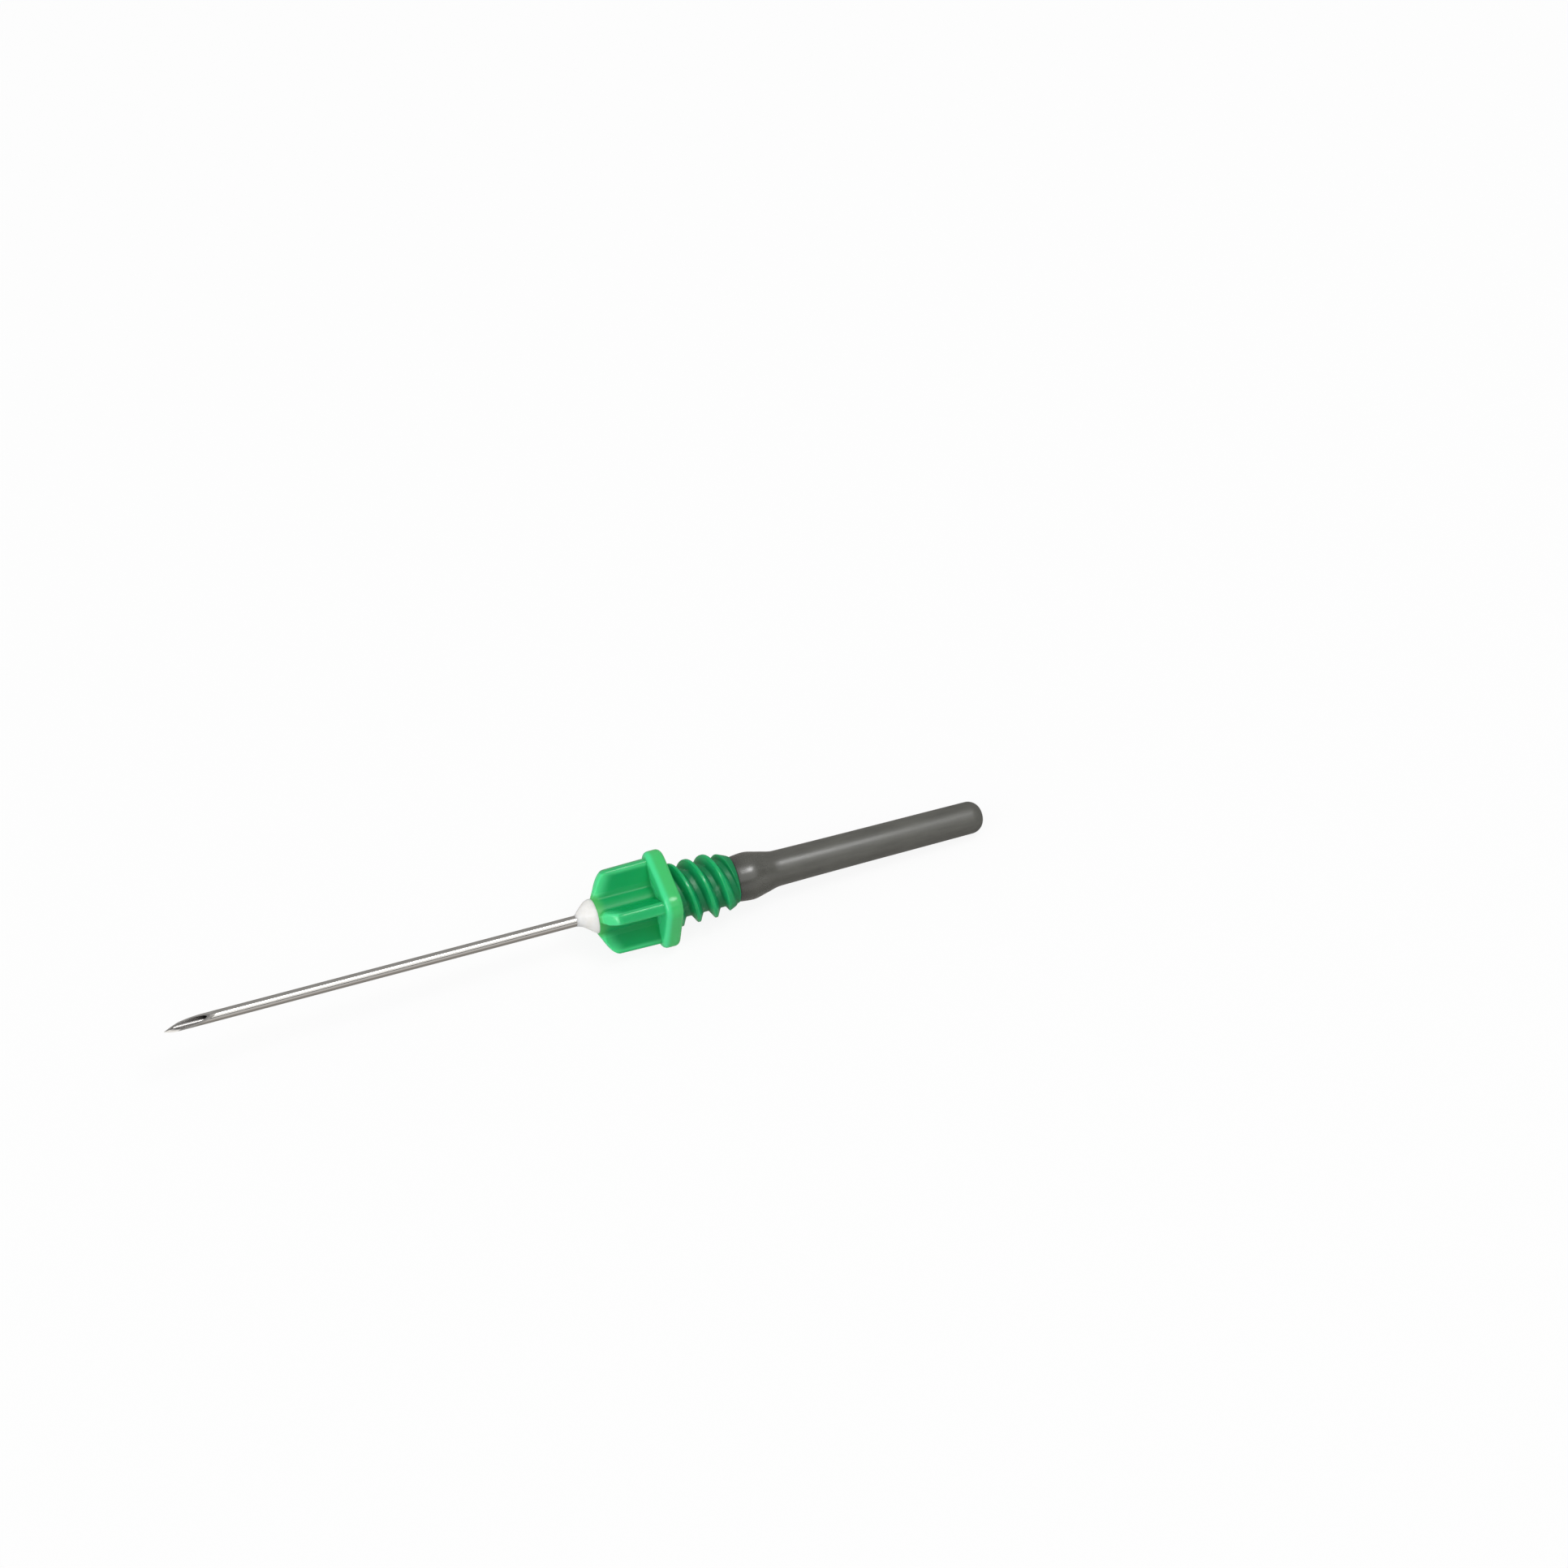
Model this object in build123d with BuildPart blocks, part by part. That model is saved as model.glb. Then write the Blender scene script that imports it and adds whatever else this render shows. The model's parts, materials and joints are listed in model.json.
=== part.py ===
from build123d import *
import os
from math import asin, atan, atan2, cos, degrees, hypot, pi, radians, sin, tan

# Blood collection needle, bare, lying at rest on a table.
# Millimetres. +Z is up and the table is Z = 0. The needle lies in the plane Y = 0, with its patient point
# towards -X and its rubber sleeve towards +X. The origin is the middle of the footprint on the table.
# Places along the needle are stations: the distance from the patient point, measured on the needle's axis.

# Cannula, one 21 gauge thin-wall tube
cannula_diameter = 0.82
lumen_diameter = 0.60
exposed_length = 32.0
bevel_length = 4.0
back_bevel_length = 2.2
lancet_turn = 45.0
lancet_slope = 20.0

# Adhesive bead on the hub's nose
bead_height = 1.4
bead_top_wall = 0.06
bead_rim_margin = 0.03
bead_bulge = 0.16
well_radius = 1.05
well_depth = 1.1

# Hub nose and wings
nose_radius = 1.33
nose_length = 4.55
wing_count = 4
wing_reach = 3.10
wing_reach_growth = 0.10
wing_tip_thickness = 0.80
wing_root_thickness = 1.00
wing_thickness_growth = 0.08
wing_chamfer_length = 1.15
wing_edge_radius = 0.14
wing_root_fillet = 0.20
nose_cone_clearance = 0.60

# Hub flange, a rounded square that keeps the needle from rolling
flange_half_width = 3.00
flange_corner_radius = 1.35
flange_thickness = 1.35
flange_edge_radius = 0.30

# Threaded shank, double-start and right-handed
thread_starts = 2
thread_pitch = 1.33
thread_length = 4.9
thread_crest_radius = 2.37
thread_root_radius = 1.76
thread_crest_flat = 0.26
thread_flank_angle = 30.0
thread_turn = 158.6
thread_lead_in_length = 1.3
thread_lead_in_radius = 1.80
thread_overlap = 0.06

# Nipple that the rubber grips, behind the shank
nipple_neck_radius = 0.85
nipple_neck_length = 0.70
nipple_barb_radius = 1.15
nipple_barb_length = 1.60
nipple_tip_radius = 0.80
bore_clearance = 0.02

# Rubber valve sleeve
sleeve_length = 19.4
sleeve_base_radius = 1.68
sleeve_bulge_radius = 1.78
sleeve_bulge_length = 1.15
sleeve_waist_length = 2.30
sleeve_waist_radius = 1.55
sleeve_neck_length = 3.40
sleeve_neck_radius = 1.32
sleeve_end_radius = 1.19
sleeve_end_round = 1.00
sleeve_end_wall = 1.40
sleeve_lumen_clearance = 0.19
sleeve_point_gap = 0.50

# Sizes that follow
cannula_radius = cannula_diameter / 2
lumen_radius = lumen_diameter / 2
bore_radius = cannula_radius + bore_clearance
sleeve_lumen_radius = cannula_radius + sleeve_lumen_clearance
thread_lead = thread_pitch * thread_starts

# Stations
bead_top = exposed_length
nose_face = bead_top + bead_height
flange_front = nose_face + nose_length
flange_back = flange_front + flange_thickness
shank_end = flange_back + thread_length
barb_start = shank_end + nipple_neck_length
nipple_end = barb_start + nipple_barb_length
sleeve_end = shank_end + sleeve_length
sleeve_lumen_end = sleeve_end - sleeve_end_wall
cannula_end = sleeve_lumen_end - sleeve_point_gap

# How the needle lies: the flange rests on the rounded back edge of one flat, and the sleeve on its round end.
flange_foot_station = flange_back - flange_edge_radius
flange_foot_drop = flange_half_width - flange_edge_radius
sleeve_foot_station = sleeve_end - sleeve_end_round
sleeve_foot_drop = sleeve_end_radius - sleeve_end_round
foot_span = sleeve_foot_station - flange_foot_station
foot_fall = flange_foot_drop - sleeve_foot_drop
lie_angle = atan2(foot_fall, foot_span) + asin(
    (flange_edge_radius - sleeve_end_round) / hypot(foot_span, foot_fall)
)
point_height = (
    flange_foot_station * sin(lie_angle) + flange_foot_drop * cos(lie_angle) + flange_edge_radius
)
low_x = -cannula_radius * sin(lie_angle)
high_x = sleeve_foot_station * cos(lie_angle) + sleeve_foot_drop * sin(lie_angle) + sleeve_end_round
point_x = -(low_x + high_x) / 2

axis_direction = Vector(cos(lie_angle), 0, -sin(lie_angle))
axis_up = Vector(sin(lie_angle), 0, cos(lie_angle))
point_on_axis = Vector(point_x, 0, point_height)
needle_axis = Axis(point_on_axis, axis_direction)

# Profiles that are turned about the axis: sketch X is the station, sketch Y the radius
profile_plane = Plane(origin=point_on_axis, x_dir=axis_direction, z_dir=(0, -1, 0))


def axis_point(station):
    """The point of the needle's axis at a station."""
    return point_on_axis + axis_direction * station


def across(station, turn=0):
    """The plane square to the axis at a station: its X is the world's Y, and its Y is the needle's up.

    turn rotates it about the axis, in degrees from Y towards up.
    """
    x_dir = Vector(0, 1, 0) * cos(radians(turn)) + axis_up * sin(radians(turn))
    return Plane(origin=axis_point(station), x_dir=x_dir, z_dir=axis_direction)


def grind_planes(point_station, outward, length):
    """The three planes of a lancet point: one long bevel facing up, then two short ones beside the point.

    outward is -1 for the point that faces the patient and 1 for the one inside the sleeve.
    """
    inward = axis_direction * -outward
    tip = axis_point(point_station) - axis_up * cannula_radius
    bevel_slope = cannula_diameter / length
    planes = [Plane(origin=tip, z_dir=axis_up - inward * bevel_slope)]
    side_slope = tan(radians(lancet_slope)) * bevel_length / length
    for side in (-1, 1):
        lean = Vector(0, side * sin(radians(lancet_turn)), 0) + axis_up * cos(radians(lancet_turn))
        planes.append(Plane(origin=tip, z_dir=lean - inward * side_slope))
    return planes


def wing_section(station, growth):
    """The cross of core and wings at a station: growth is the draft, 0 at the nose and 1 at the flange."""
    tip = (wing_tip_thickness + growth * wing_thickness_growth) / 2
    root = (wing_root_thickness + growth * wing_thickness_growth) / 2
    reach = wing_reach + growth * wing_reach_growth
    with BuildSketch(across(station)) as section:
        Circle(nose_radius)
        with PolarLocations(0, wing_count, start_angle=180 / wing_count):
            Polygon((0, -root), (reach, -tip), (reach, tip), (0, root), align=None)
        corners = section.vertices().group_by(lambda v: round(hypot(v.X, v.Y), 3))
        fillet(corners[-1], wing_edge_radius)
        fillet(corners[0], wing_root_fillet)
    return section.sketch


# Cannula: one tube, ground to a point at both ends
with BuildPart() as cannula:
    with BuildSketch(across(0)):
        Circle(cannula_radius)
        Circle(lumen_radius, mode=Mode.SUBTRACT)
    extrude(amount=cannula_end)
    for plane in grind_planes(0, -1, bevel_length):
        split(bisect_by=plane, keep=Keep.BOTTOM)
    for plane in grind_planes(cannula_end, 1, back_bevel_length):
        split(bisect_by=plane, keep=Keep.BOTTOM)

# Adhesive bead: it fills the well in the hub's nose and rises round the cannula
bead_top_radius = cannula_radius + bead_top_wall
bead_rim_radius = nose_radius - bead_rim_margin
bead_swell = (
    (bead_top + nose_face) / 2,
    (bead_top_radius + bead_rim_radius) / 2 + bead_bulge,
)
with BuildPart() as adhesive_bead:
    with BuildSketch(profile_plane):
        with BuildLine():
            ThreePointArc((bead_top, bead_top_radius), bead_swell, (nose_face, bead_rim_radius))
            Polyline(
                (nose_face, bead_rim_radius),
                (nose_face, well_radius),
                (nose_face + well_depth, bore_radius),
                (nose_face + well_depth, cannula_radius),
                (bead_top, cannula_radius),
                (bead_top, bead_top_radius),
            )
        make_face()
    revolve(axis=needle_axis)

# Thread ridges: swept along helices that start inside the flange, cut square at both ends, and worn down
# by a long cone at the shank's free end, the thread's lead-in
helix_angle = atan(thread_lead / (2 * pi * thread_root_radius))
thread_height = thread_crest_radius - thread_root_radius
flank_slope = tan(radians(thread_flank_angle))
ridge_length = flange_thickness + thread_length + thread_pitch


def ridge_half_width(height):
    """Half the ridge's width at a height above the thread's root, square to the ridge."""
    return (thread_crest_flat / 2 + (thread_height - height) * flank_slope) * cos(helix_angle)


ridge_profile = [
    (height, side * ridge_half_width(height))
    for side, heights in ((1, (-thread_overlap, thread_height)), (-1, (thread_height, -thread_overlap)))
    for height in heights
]
ridge_paths = [
    across(flange_front, thread_turn + 360 / thread_starts * start)
    * Helix(thread_lead, ridge_length, thread_root_radius)
    for start in range(thread_starts)
]
lead_in_slope = (thread_crest_radius - thread_lead_in_radius) / thread_lead_in_length
lead_in_reach = thread_lead_in_length / 2
with BuildPart() as thread:
    for path in ridge_paths:
        start = path @ 0
        outward = start - axis_point(flange_front)
        with BuildSketch(Plane(origin=start, x_dir=outward, z_dir=path % 0)):
            Polygon(*ridge_profile, align=None)
        sweep(path=path, is_frenet=True)
    split(bisect_by=across(flange_front + flange_thickness / 2), keep=Keep.TOP)
    split(bisect_by=across(shank_end), keep=Keep.BOTTOM)
    with BuildSketch(profile_plane):
        Polygon(
            (
                shank_end - thread_lead_in_length - lead_in_reach,
                thread_crest_radius + lead_in_reach * lead_in_slope,
            ),
            (shank_end + lead_in_reach, thread_crest_radius + lead_in_reach * lead_in_slope),
            (shank_end + lead_in_reach, thread_lead_in_radius - lead_in_reach * lead_in_slope),
            align=None,
        )
    revolve(axis=needle_axis, mode=Mode.SUBTRACT)

# The wings' front corners lie on a cone, which opens from the nose's rim until it is clear of the wings
nose_cone_slope = (wing_reach - nose_radius) / wing_chamfer_length
nose_cone_radius = wing_reach + wing_reach_growth + nose_cone_clearance
nose_cone_length = (nose_cone_radius - nose_radius) / nose_cone_slope

# Hub: one moulding with nose, wings, flange, threaded shank and nipple
with BuildPart() as hub:
    loft([wing_section(nose_face, 0), wing_section(flange_front, 1)], ruled=True)
    with BuildSketch(profile_plane):
        Polygon(
            (nose_face, 0),
            (nose_face, nose_radius),
            (nose_face + nose_cone_length, nose_cone_radius),
            (flange_front, nose_cone_radius),
            (flange_front, 0),
            align=None,
        )
    revolve(axis=needle_axis, mode=Mode.INTERSECT)
    with BuildSketch(across(flange_front)):
        RectangleRounded(2 * flange_half_width, 2 * flange_half_width, flange_corner_radius)
    flange = extrude(amount=flange_thickness, mode=Mode.PRIVATE)
    flange_rims = flange.faces().filter_by(lambda f: abs(f.normal_at().dot(axis_direction)) > 0.9).edges()
    add(flange.fillet(flange_edge_radius, flange_rims))
    with BuildSketch(profile_plane):
        Polygon(
            (flange_back, 0),
            (flange_back, thread_root_radius),
            (shank_end, thread_root_radius),
            (shank_end, nipple_neck_radius),
            (barb_start, nipple_neck_radius),
            (barb_start, nipple_barb_radius),
            (nipple_end, nipple_tip_radius),
            (nipple_end, 0),
            align=None,
        )
    revolve(axis=needle_axis)
    add(thread.part)
    with BuildSketch(profile_plane):
        Polygon(
            (nose_face, 0),
            (nose_face, well_radius),
            (nose_face + well_depth, bore_radius),
            (nipple_end, bore_radius),
            (nipple_end, 0),
            align=None,
        )
    revolve(axis=needle_axis, mode=Mode.SUBTRACT)

# Valve sleeve: a closed rubber tube, stretched over the nipple's barb
taper = (sleeve_end_radius - sleeve_neck_radius) / (
    sleeve_end - sleeve_end_round - shank_end - sleeve_neck_length
)
with BuildPart() as valve_sleeve:
    with BuildSketch(profile_plane):
        with BuildLine():
            Spline(
                (shank_end, sleeve_base_radius),
                (shank_end + sleeve_bulge_length, sleeve_bulge_radius),
                (shank_end + sleeve_waist_length, sleeve_waist_radius),
                (shank_end + sleeve_neck_length, sleeve_neck_radius),
                tangents=((1, 0.2), (1, taper)),
            )
            Line(
                (shank_end + sleeve_neck_length, sleeve_neck_radius),
                (sleeve_foot_station, sleeve_end_radius),
            )
            RadiusArc(
                (sleeve_foot_station, sleeve_end_radius),
                (sleeve_end, sleeve_foot_drop),
                sleeve_end_round,
            )
            Polyline(
                (sleeve_end, sleeve_foot_drop),
                (sleeve_end, 0),
                (sleeve_lumen_end, 0),
                (sleeve_lumen_end, sleeve_lumen_radius),
                (nipple_end, sleeve_lumen_radius),
                (nipple_end, nipple_tip_radius),
                (barb_start, nipple_barb_radius),
                (barb_start, nipple_neck_radius),
                (shank_end, nipple_neck_radius),
                (shank_end, sleeve_base_radius),
            )
        make_face()
    revolve(axis=needle_axis)

pieces = {
    "hub": hub,
    "cannula": cannula,
    "adhesive_bead": adhesive_bead,
    "valve_sleeve": valve_sleeve,
}

os.makedirs("parts", exist_ok=True)
for name, piece in pieces.items():
    piece.part.label = name
    export_step(piece.part, f"parts/{name}.step")

print(f"lies at {degrees(lie_angle):.2f} degrees, point {point_height:.2f} above the table")
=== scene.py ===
"""The looks of a bare blood collection needle that lies on a pale table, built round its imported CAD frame.

Everything is in metres. A place on the needle is a spot: a station, which is the distance from the patient
point along the needle's axis, and two offsets from that axis, one to the side (the world's Y) and one up.
Angles round the axis are counted from the side direction towards up.
"""

import json
import logging
import math
from collections.abc import Sequence
from dataclasses import dataclass
from enum import Enum
from typing import Any, NamedTuple, Optional, Union

import bmesh
import bpy
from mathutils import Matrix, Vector


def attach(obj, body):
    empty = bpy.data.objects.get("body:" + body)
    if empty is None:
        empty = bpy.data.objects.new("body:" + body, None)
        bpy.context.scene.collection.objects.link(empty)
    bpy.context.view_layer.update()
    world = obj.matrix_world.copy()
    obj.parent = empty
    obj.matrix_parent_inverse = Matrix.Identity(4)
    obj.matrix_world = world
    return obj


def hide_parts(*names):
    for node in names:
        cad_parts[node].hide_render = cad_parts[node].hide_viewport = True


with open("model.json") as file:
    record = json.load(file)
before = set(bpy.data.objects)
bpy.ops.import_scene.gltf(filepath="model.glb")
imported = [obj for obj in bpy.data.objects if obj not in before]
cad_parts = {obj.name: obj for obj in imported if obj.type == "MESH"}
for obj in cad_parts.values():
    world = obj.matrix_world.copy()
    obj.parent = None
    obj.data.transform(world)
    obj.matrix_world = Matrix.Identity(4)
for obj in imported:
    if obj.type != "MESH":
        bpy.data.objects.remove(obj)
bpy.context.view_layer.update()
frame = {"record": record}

MM = 0.001
FULL_TURN = 2 * math.pi
SAME_PLACE = 0.0002 * MM
NOISE_MIDDLE = 0.5

log = logging.getLogger("needle")


class Spot(NamedTuple):
    """A place on the needle.

    Args:
        station: Distance from the patient point along the axis.
        side: Offset from the axis along the world's Y.
        rise: Offset from the axis upwards.
    """

    station: float
    side: float
    rise: float

    @property
    def angle(self) -> float:
        """The spot's angle round the axis."""
        return math.atan2(self.rise, self.side)


Ring = list[Spot]


def between(low: float, high: float, share: float) -> float:
    """The value that lies a share of the way from low to high."""
    return low + (high - low) * share


def soft_least(first: float, second: float, width: float) -> float:
    """The lesser of two values, with the corner between them rounded.

    Args:
        first: One value.
        second: The other value.
        width: The difference within which the two are blended.

    Returns:
        The blended lesser value.
    """
    near = max(width - abs(first - second), 0.0) / width
    return min(first, second) - near * near * width / 4


def round_ring(station: float, radius: float, count: int, start: float = 0.0) -> Ring:
    """A round ring square to the axis.

    Args:
        station: Where the ring lies.
        radius: Its radius.
        count: How many spots it holds.
        start: The angle of its first spot.

    Returns:
        The ring's spots, in the order of their angles.
    """
    angles = [start + FULL_TURN * index / count for index in range(count)]
    return [Spot(station, radius * math.cos(angle), radius * math.sin(angle)) for angle in angles]


def matching_index(ring: Ring, wanted: Spot) -> int:
    """The index of the spot of a ring that lies nearest in angle to another spot.

    Args:
        ring: The ring.
        wanted: The spot that is matched.

    Returns:
        The index.
    """

    def apart(index: int) -> float:
        """The angle from the wanted spot to the spot of that index."""
        return abs(math.remainder(ring[index].angle - wanted.angle, FULL_TURN))

    return min(range(len(ring)), key=apart)


@dataclass(frozen=True)
class Layout:
    """The sizes that pieces share: the stretches along the axis, and the radii at which the pieces meet."""

    bead_top: float = 32.0 * MM
    bead_height: float = 1.4 * MM
    nose_length: float = 4.55 * MM
    flange_thickness: float = 1.35 * MM
    thread_length: float = 4.9 * MM
    nipple_neck_length: float = 0.7 * MM
    nipple_barb_length: float = 1.6 * MM
    sleeve_length: float = 19.4 * MM
    sleeve_end_wall: float = 1.4 * MM
    sleeve_point_gap: float = 0.5 * MM
    tube_radius: float = 0.41 * MM
    bore_radius: float = 0.43 * MM
    well_radius: float = 1.05 * MM
    well_depth: float = 1.1 * MM
    nipple_neck_radius: float = 0.85 * MM
    nipple_barb_radius: float = 1.15 * MM
    nipple_tip_radius: float = 0.80 * MM

    @property
    def nose_face(self) -> float:
        """The front face of the hub."""
        return self.bead_top + self.bead_height

    @property
    def flange_front(self) -> float:
        """The front face of the flange."""
        return self.nose_face + self.nose_length

    @property
    def flange_back(self) -> float:
        """The back face of the flange, where the thread begins."""
        return self.flange_front + self.flange_thickness

    @property
    def shank_end(self) -> float:
        """The free end of the threaded shank."""
        return self.flange_back + self.thread_length

    @property
    def barb_start(self) -> float:
        """The wide end of the nipple's barb."""
        return self.shank_end + self.nipple_neck_length

    @property
    def nipple_end(self) -> float:
        """The narrow end of the nipple's barb."""
        return self.barb_start + self.nipple_barb_length

    @property
    def sleeve_end(self) -> float:
        """The closed end of the rubber sleeve."""
        return self.shank_end + self.sleeve_length

    @property
    def lumen_end(self) -> float:
        """The end of the hollow inside the sleeve."""
        return self.sleeve_end - self.sleeve_end_wall

    @property
    def cannula_end(self) -> float:
        """The tube's point inside the sleeve."""
        return self.lumen_end - self.sleeve_point_gap


@dataclass(frozen=True)
class Lie:
    """How the needle lies in the world.

    Args:
        point: The patient point on the needle's axis.
        along: The direction of the axis, from the patient point to the sleeve.
        side: The direction across the needle, level with the table.
        up: The direction up from the axis, square to it.
    """

    point: Vector
    along: Vector
    side: Vector
    up: Vector

    @classmethod
    def of_mount(cls, record: dict[str, Any], mount_name: str, station: float) -> "Lie":
        """Reads the lie from a mount on the needle's axis.

        Args:
            record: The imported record.
            mount_name: A mount that points along the axis, towards the sleeve.
            station: The station at which that mount lies.

        Returns:
            The lie that puts the mount at its station.
        """
        mount = next(entry for entry in record["mounts"] if entry["name"] == mount_name)
        along = Vector(mount["axis"]).normalized()
        side = Vector((0.0, 1.0, 0.0))
        return cls(Vector(mount["pos_m"]) - along * station, along, side, along.cross(side))

    @property
    def tilt(self) -> float:
        """The angle by which the axis falls towards the sleeve."""
        return math.atan2(-self.along.z, self.along.x)

    def place(self, spot: Spot) -> Vector:
        """The point in the world at which a spot lies."""
        return self.point + self.along * spot.station + self.side * spot.side + self.up * spot.rise


class Closing(Enum):
    """How the first and last rings of a skin are closed."""

    JOINED = "the last ring joins the first"
    POLES = "each end closes on a pole"


@dataclass
class RingSkin:
    """A closed skin over rings that all hold the same number of spots.

    Args:
        name: The name of the piece.
        lie: How the needle lies.
        rings: The rings, in order along the skin.
        closing: How the skin is closed at its ends.
        ground_bands: The bands, by the index of their first ring, that take the second finish.
        sharp_angle: The angle between faces over which an edge is left sharp.
    """

    name: str
    lie: Lie
    rings: list[Ring]
    closing: Closing
    ground_bands: frozenset[int] = frozenset()
    sharp_angle: float = math.radians(35)

    def build(self) -> bpy.types.Object:
        """Makes the piece.

        Returns:
            The piece, at the origin, with outward faces and no material yet.
        """
        skin = bmesh.new()
        rows = [[skin.verts.new(self.lie.place(spot)) for spot in ring] for ring in self.rings]
        for index, (row, following) in enumerate(zip(rows, rows[1:])):
            self._band(skin, row, following, int(index in self.ground_bands))
        last_index = len(rows) - 1
        if self.closing is Closing.JOINED:
            first = matching_index(self.rings[0], self.rings[-1][0])
            matched = rows[0][first:] + rows[0][:first]
            self._band(skin, rows[-1], matched, int(last_index in self.ground_bands))
        else:
            self._cap(skin, rows[0])
            self._cap(skin, rows[-1])
        bmesh.ops.remove_doubles(skin, verts=skin.verts, dist=SAME_PLACE)
        bmesh.ops.recalc_face_normals(skin, faces=skin.faces)
        mesh = bpy.data.meshes.new(self.name)
        skin.to_mesh(mesh)
        skin.free()
        for face in mesh.polygons:
            face.use_smooth = True
        mesh.set_sharp_from_angle(angle=self.sharp_angle)
        piece = bpy.data.objects.new(self.name, mesh)
        bpy.context.scene.collection.objects.link(piece)
        return piece

    @staticmethod
    def _band(
        skin: bmesh.types.BMesh,
        row: Sequence[bmesh.types.BMVert],
        following: Sequence[bmesh.types.BMVert],
        finish_index: int,
    ) -> None:
        """Joins two rings by a band of four-sided faces.

        Args:
            skin: The mesh that is being built.
            row: The vertices of one ring.
            following: The vertices of the next ring.
            finish_index: The material slot of the band.
        """
        count = len(row)
        for index in range(count):
            after = (index + 1) % count
            face = skin.faces.new((row[index], row[after], following[after], following[index]))
            face.material_index = finish_index

    @staticmethod
    def _cap(skin: bmesh.types.BMesh, row: Sequence[bmesh.types.BMVert]) -> None:
        """Closes a small ring by a fan of faces round its middle.

        Args:
            skin: The mesh that is being built.
            row: The vertices of the ring.
        """
        middle = skin.verts.new(sum((vertex.co for vertex in row), Vector()) / len(row))
        count = len(row)
        for index in range(count):
            skin.faces.new((row[index], row[(index + 1) % count], middle))


Number = Union[float, "Wire"]


@dataclass(frozen=True)
class Wire:
    """A node's output that takes part in Python expressions, each of which adds the Math node it stands for.

    Args:
        sheet: The node sheet that the output belongs to.
        socket: The output socket.
    """

    sheet: "NodeSheet"
    socket: bpy.types.NodeSocket

    def maths(self, operation: str, *values: Number) -> "Wire":
        """Adds a Math node.

        Args:
            operation: The Math node's operation.
            values: Its inputs, in order.

        Returns:
            The node's output.
        """
        return self.sheet.add("ShaderNodeMath", {"operation": operation}, dict(enumerate(values)))[0]

    def __add__(self, other: Number) -> "Wire":
        """This plus the other."""
        return self.maths("ADD", self, other)

    def __radd__(self, other: Number) -> "Wire":
        """The other plus this."""
        return self.maths("ADD", other, self)

    def __sub__(self, other: Number) -> "Wire":
        """This less the other."""
        return self.maths("SUBTRACT", self, other)

    def __rsub__(self, other: Number) -> "Wire":
        """The other less this."""
        return self.maths("SUBTRACT", other, self)

    def __mul__(self, other: Number) -> "Wire":
        """This times the other."""
        return self.maths("MULTIPLY", self, other)

    def __rmul__(self, other: Number) -> "Wire":
        """The other times this."""
        return self.maths("MULTIPLY", other, self)

    def __truediv__(self, other: Number) -> "Wire":
        """This divided by the other."""
        return self.maths("DIVIDE", self, other)

    def __rtruediv__(self, other: Number) -> "Wire":
        """The other divided by this."""
        return self.maths("DIVIDE", other, self)

    def __pow__(self, other: Number) -> "Wire":
        """This to the power of the other."""
        return self.maths("POWER", self, other)

    def __abs__(self) -> "Wire":
        """This without its sign."""
        return self.maths("ABSOLUTE", self)

    def fraction(self) -> "Wire":
        """What this holds past its whole number."""
        return self.maths("FRACT", self)

    def sine(self) -> "Wire":
        """The sine of this angle."""
        return self.maths("SINE", self)

    def cosine(self) -> "Wire":
        """The cosine of this angle."""
        return self.maths("COSINE", self)

    def soft_least(self, other: Number, width: Number) -> "Wire":
        """The lesser of this and the other, with the corner between them rounded over a width."""
        return self.maths("SMOOTH_MIN", self, other, width)

    def step(self, low: Number, high: Number) -> "Wire":
        """A share that rises smoothly from 0 to 1 while this goes from low to high.

        Args:
            low: Where the share is still 0.
            high: Where the share is 1.

        Returns:
            The share.
        """
        settings = {"interpolation_type": "SMOOTHSTEP"}
        sockets = {"Value": self, "From Min": low, "From Max": high}
        return self.sheet.add("ShaderNodeMapRange", settings, sockets)["Result"]


@dataclass(frozen=True)
class Outputs:
    """The outputs of a node, reached by name or by place.

    Args:
        sheet: The node sheet that the node belongs to.
        node: The node.
    """

    sheet: "NodeSheet"
    node: bpy.types.Node

    def __getitem__(self, key: Union[str, int]) -> Wire:
        """The output of that name or place."""
        return Wire(self.sheet, self.node.outputs[key])


Value = Union[Wire, float, int, tuple, Vector, bpy.types.ID]


@dataclass(frozen=True)
class Relief:
    """How strongly a height shows as bumps.

    Args:
        strength: How much of the bump is used.
        distance: How high a value of 1 stands.
    """

    strength: float
    distance: float


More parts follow.
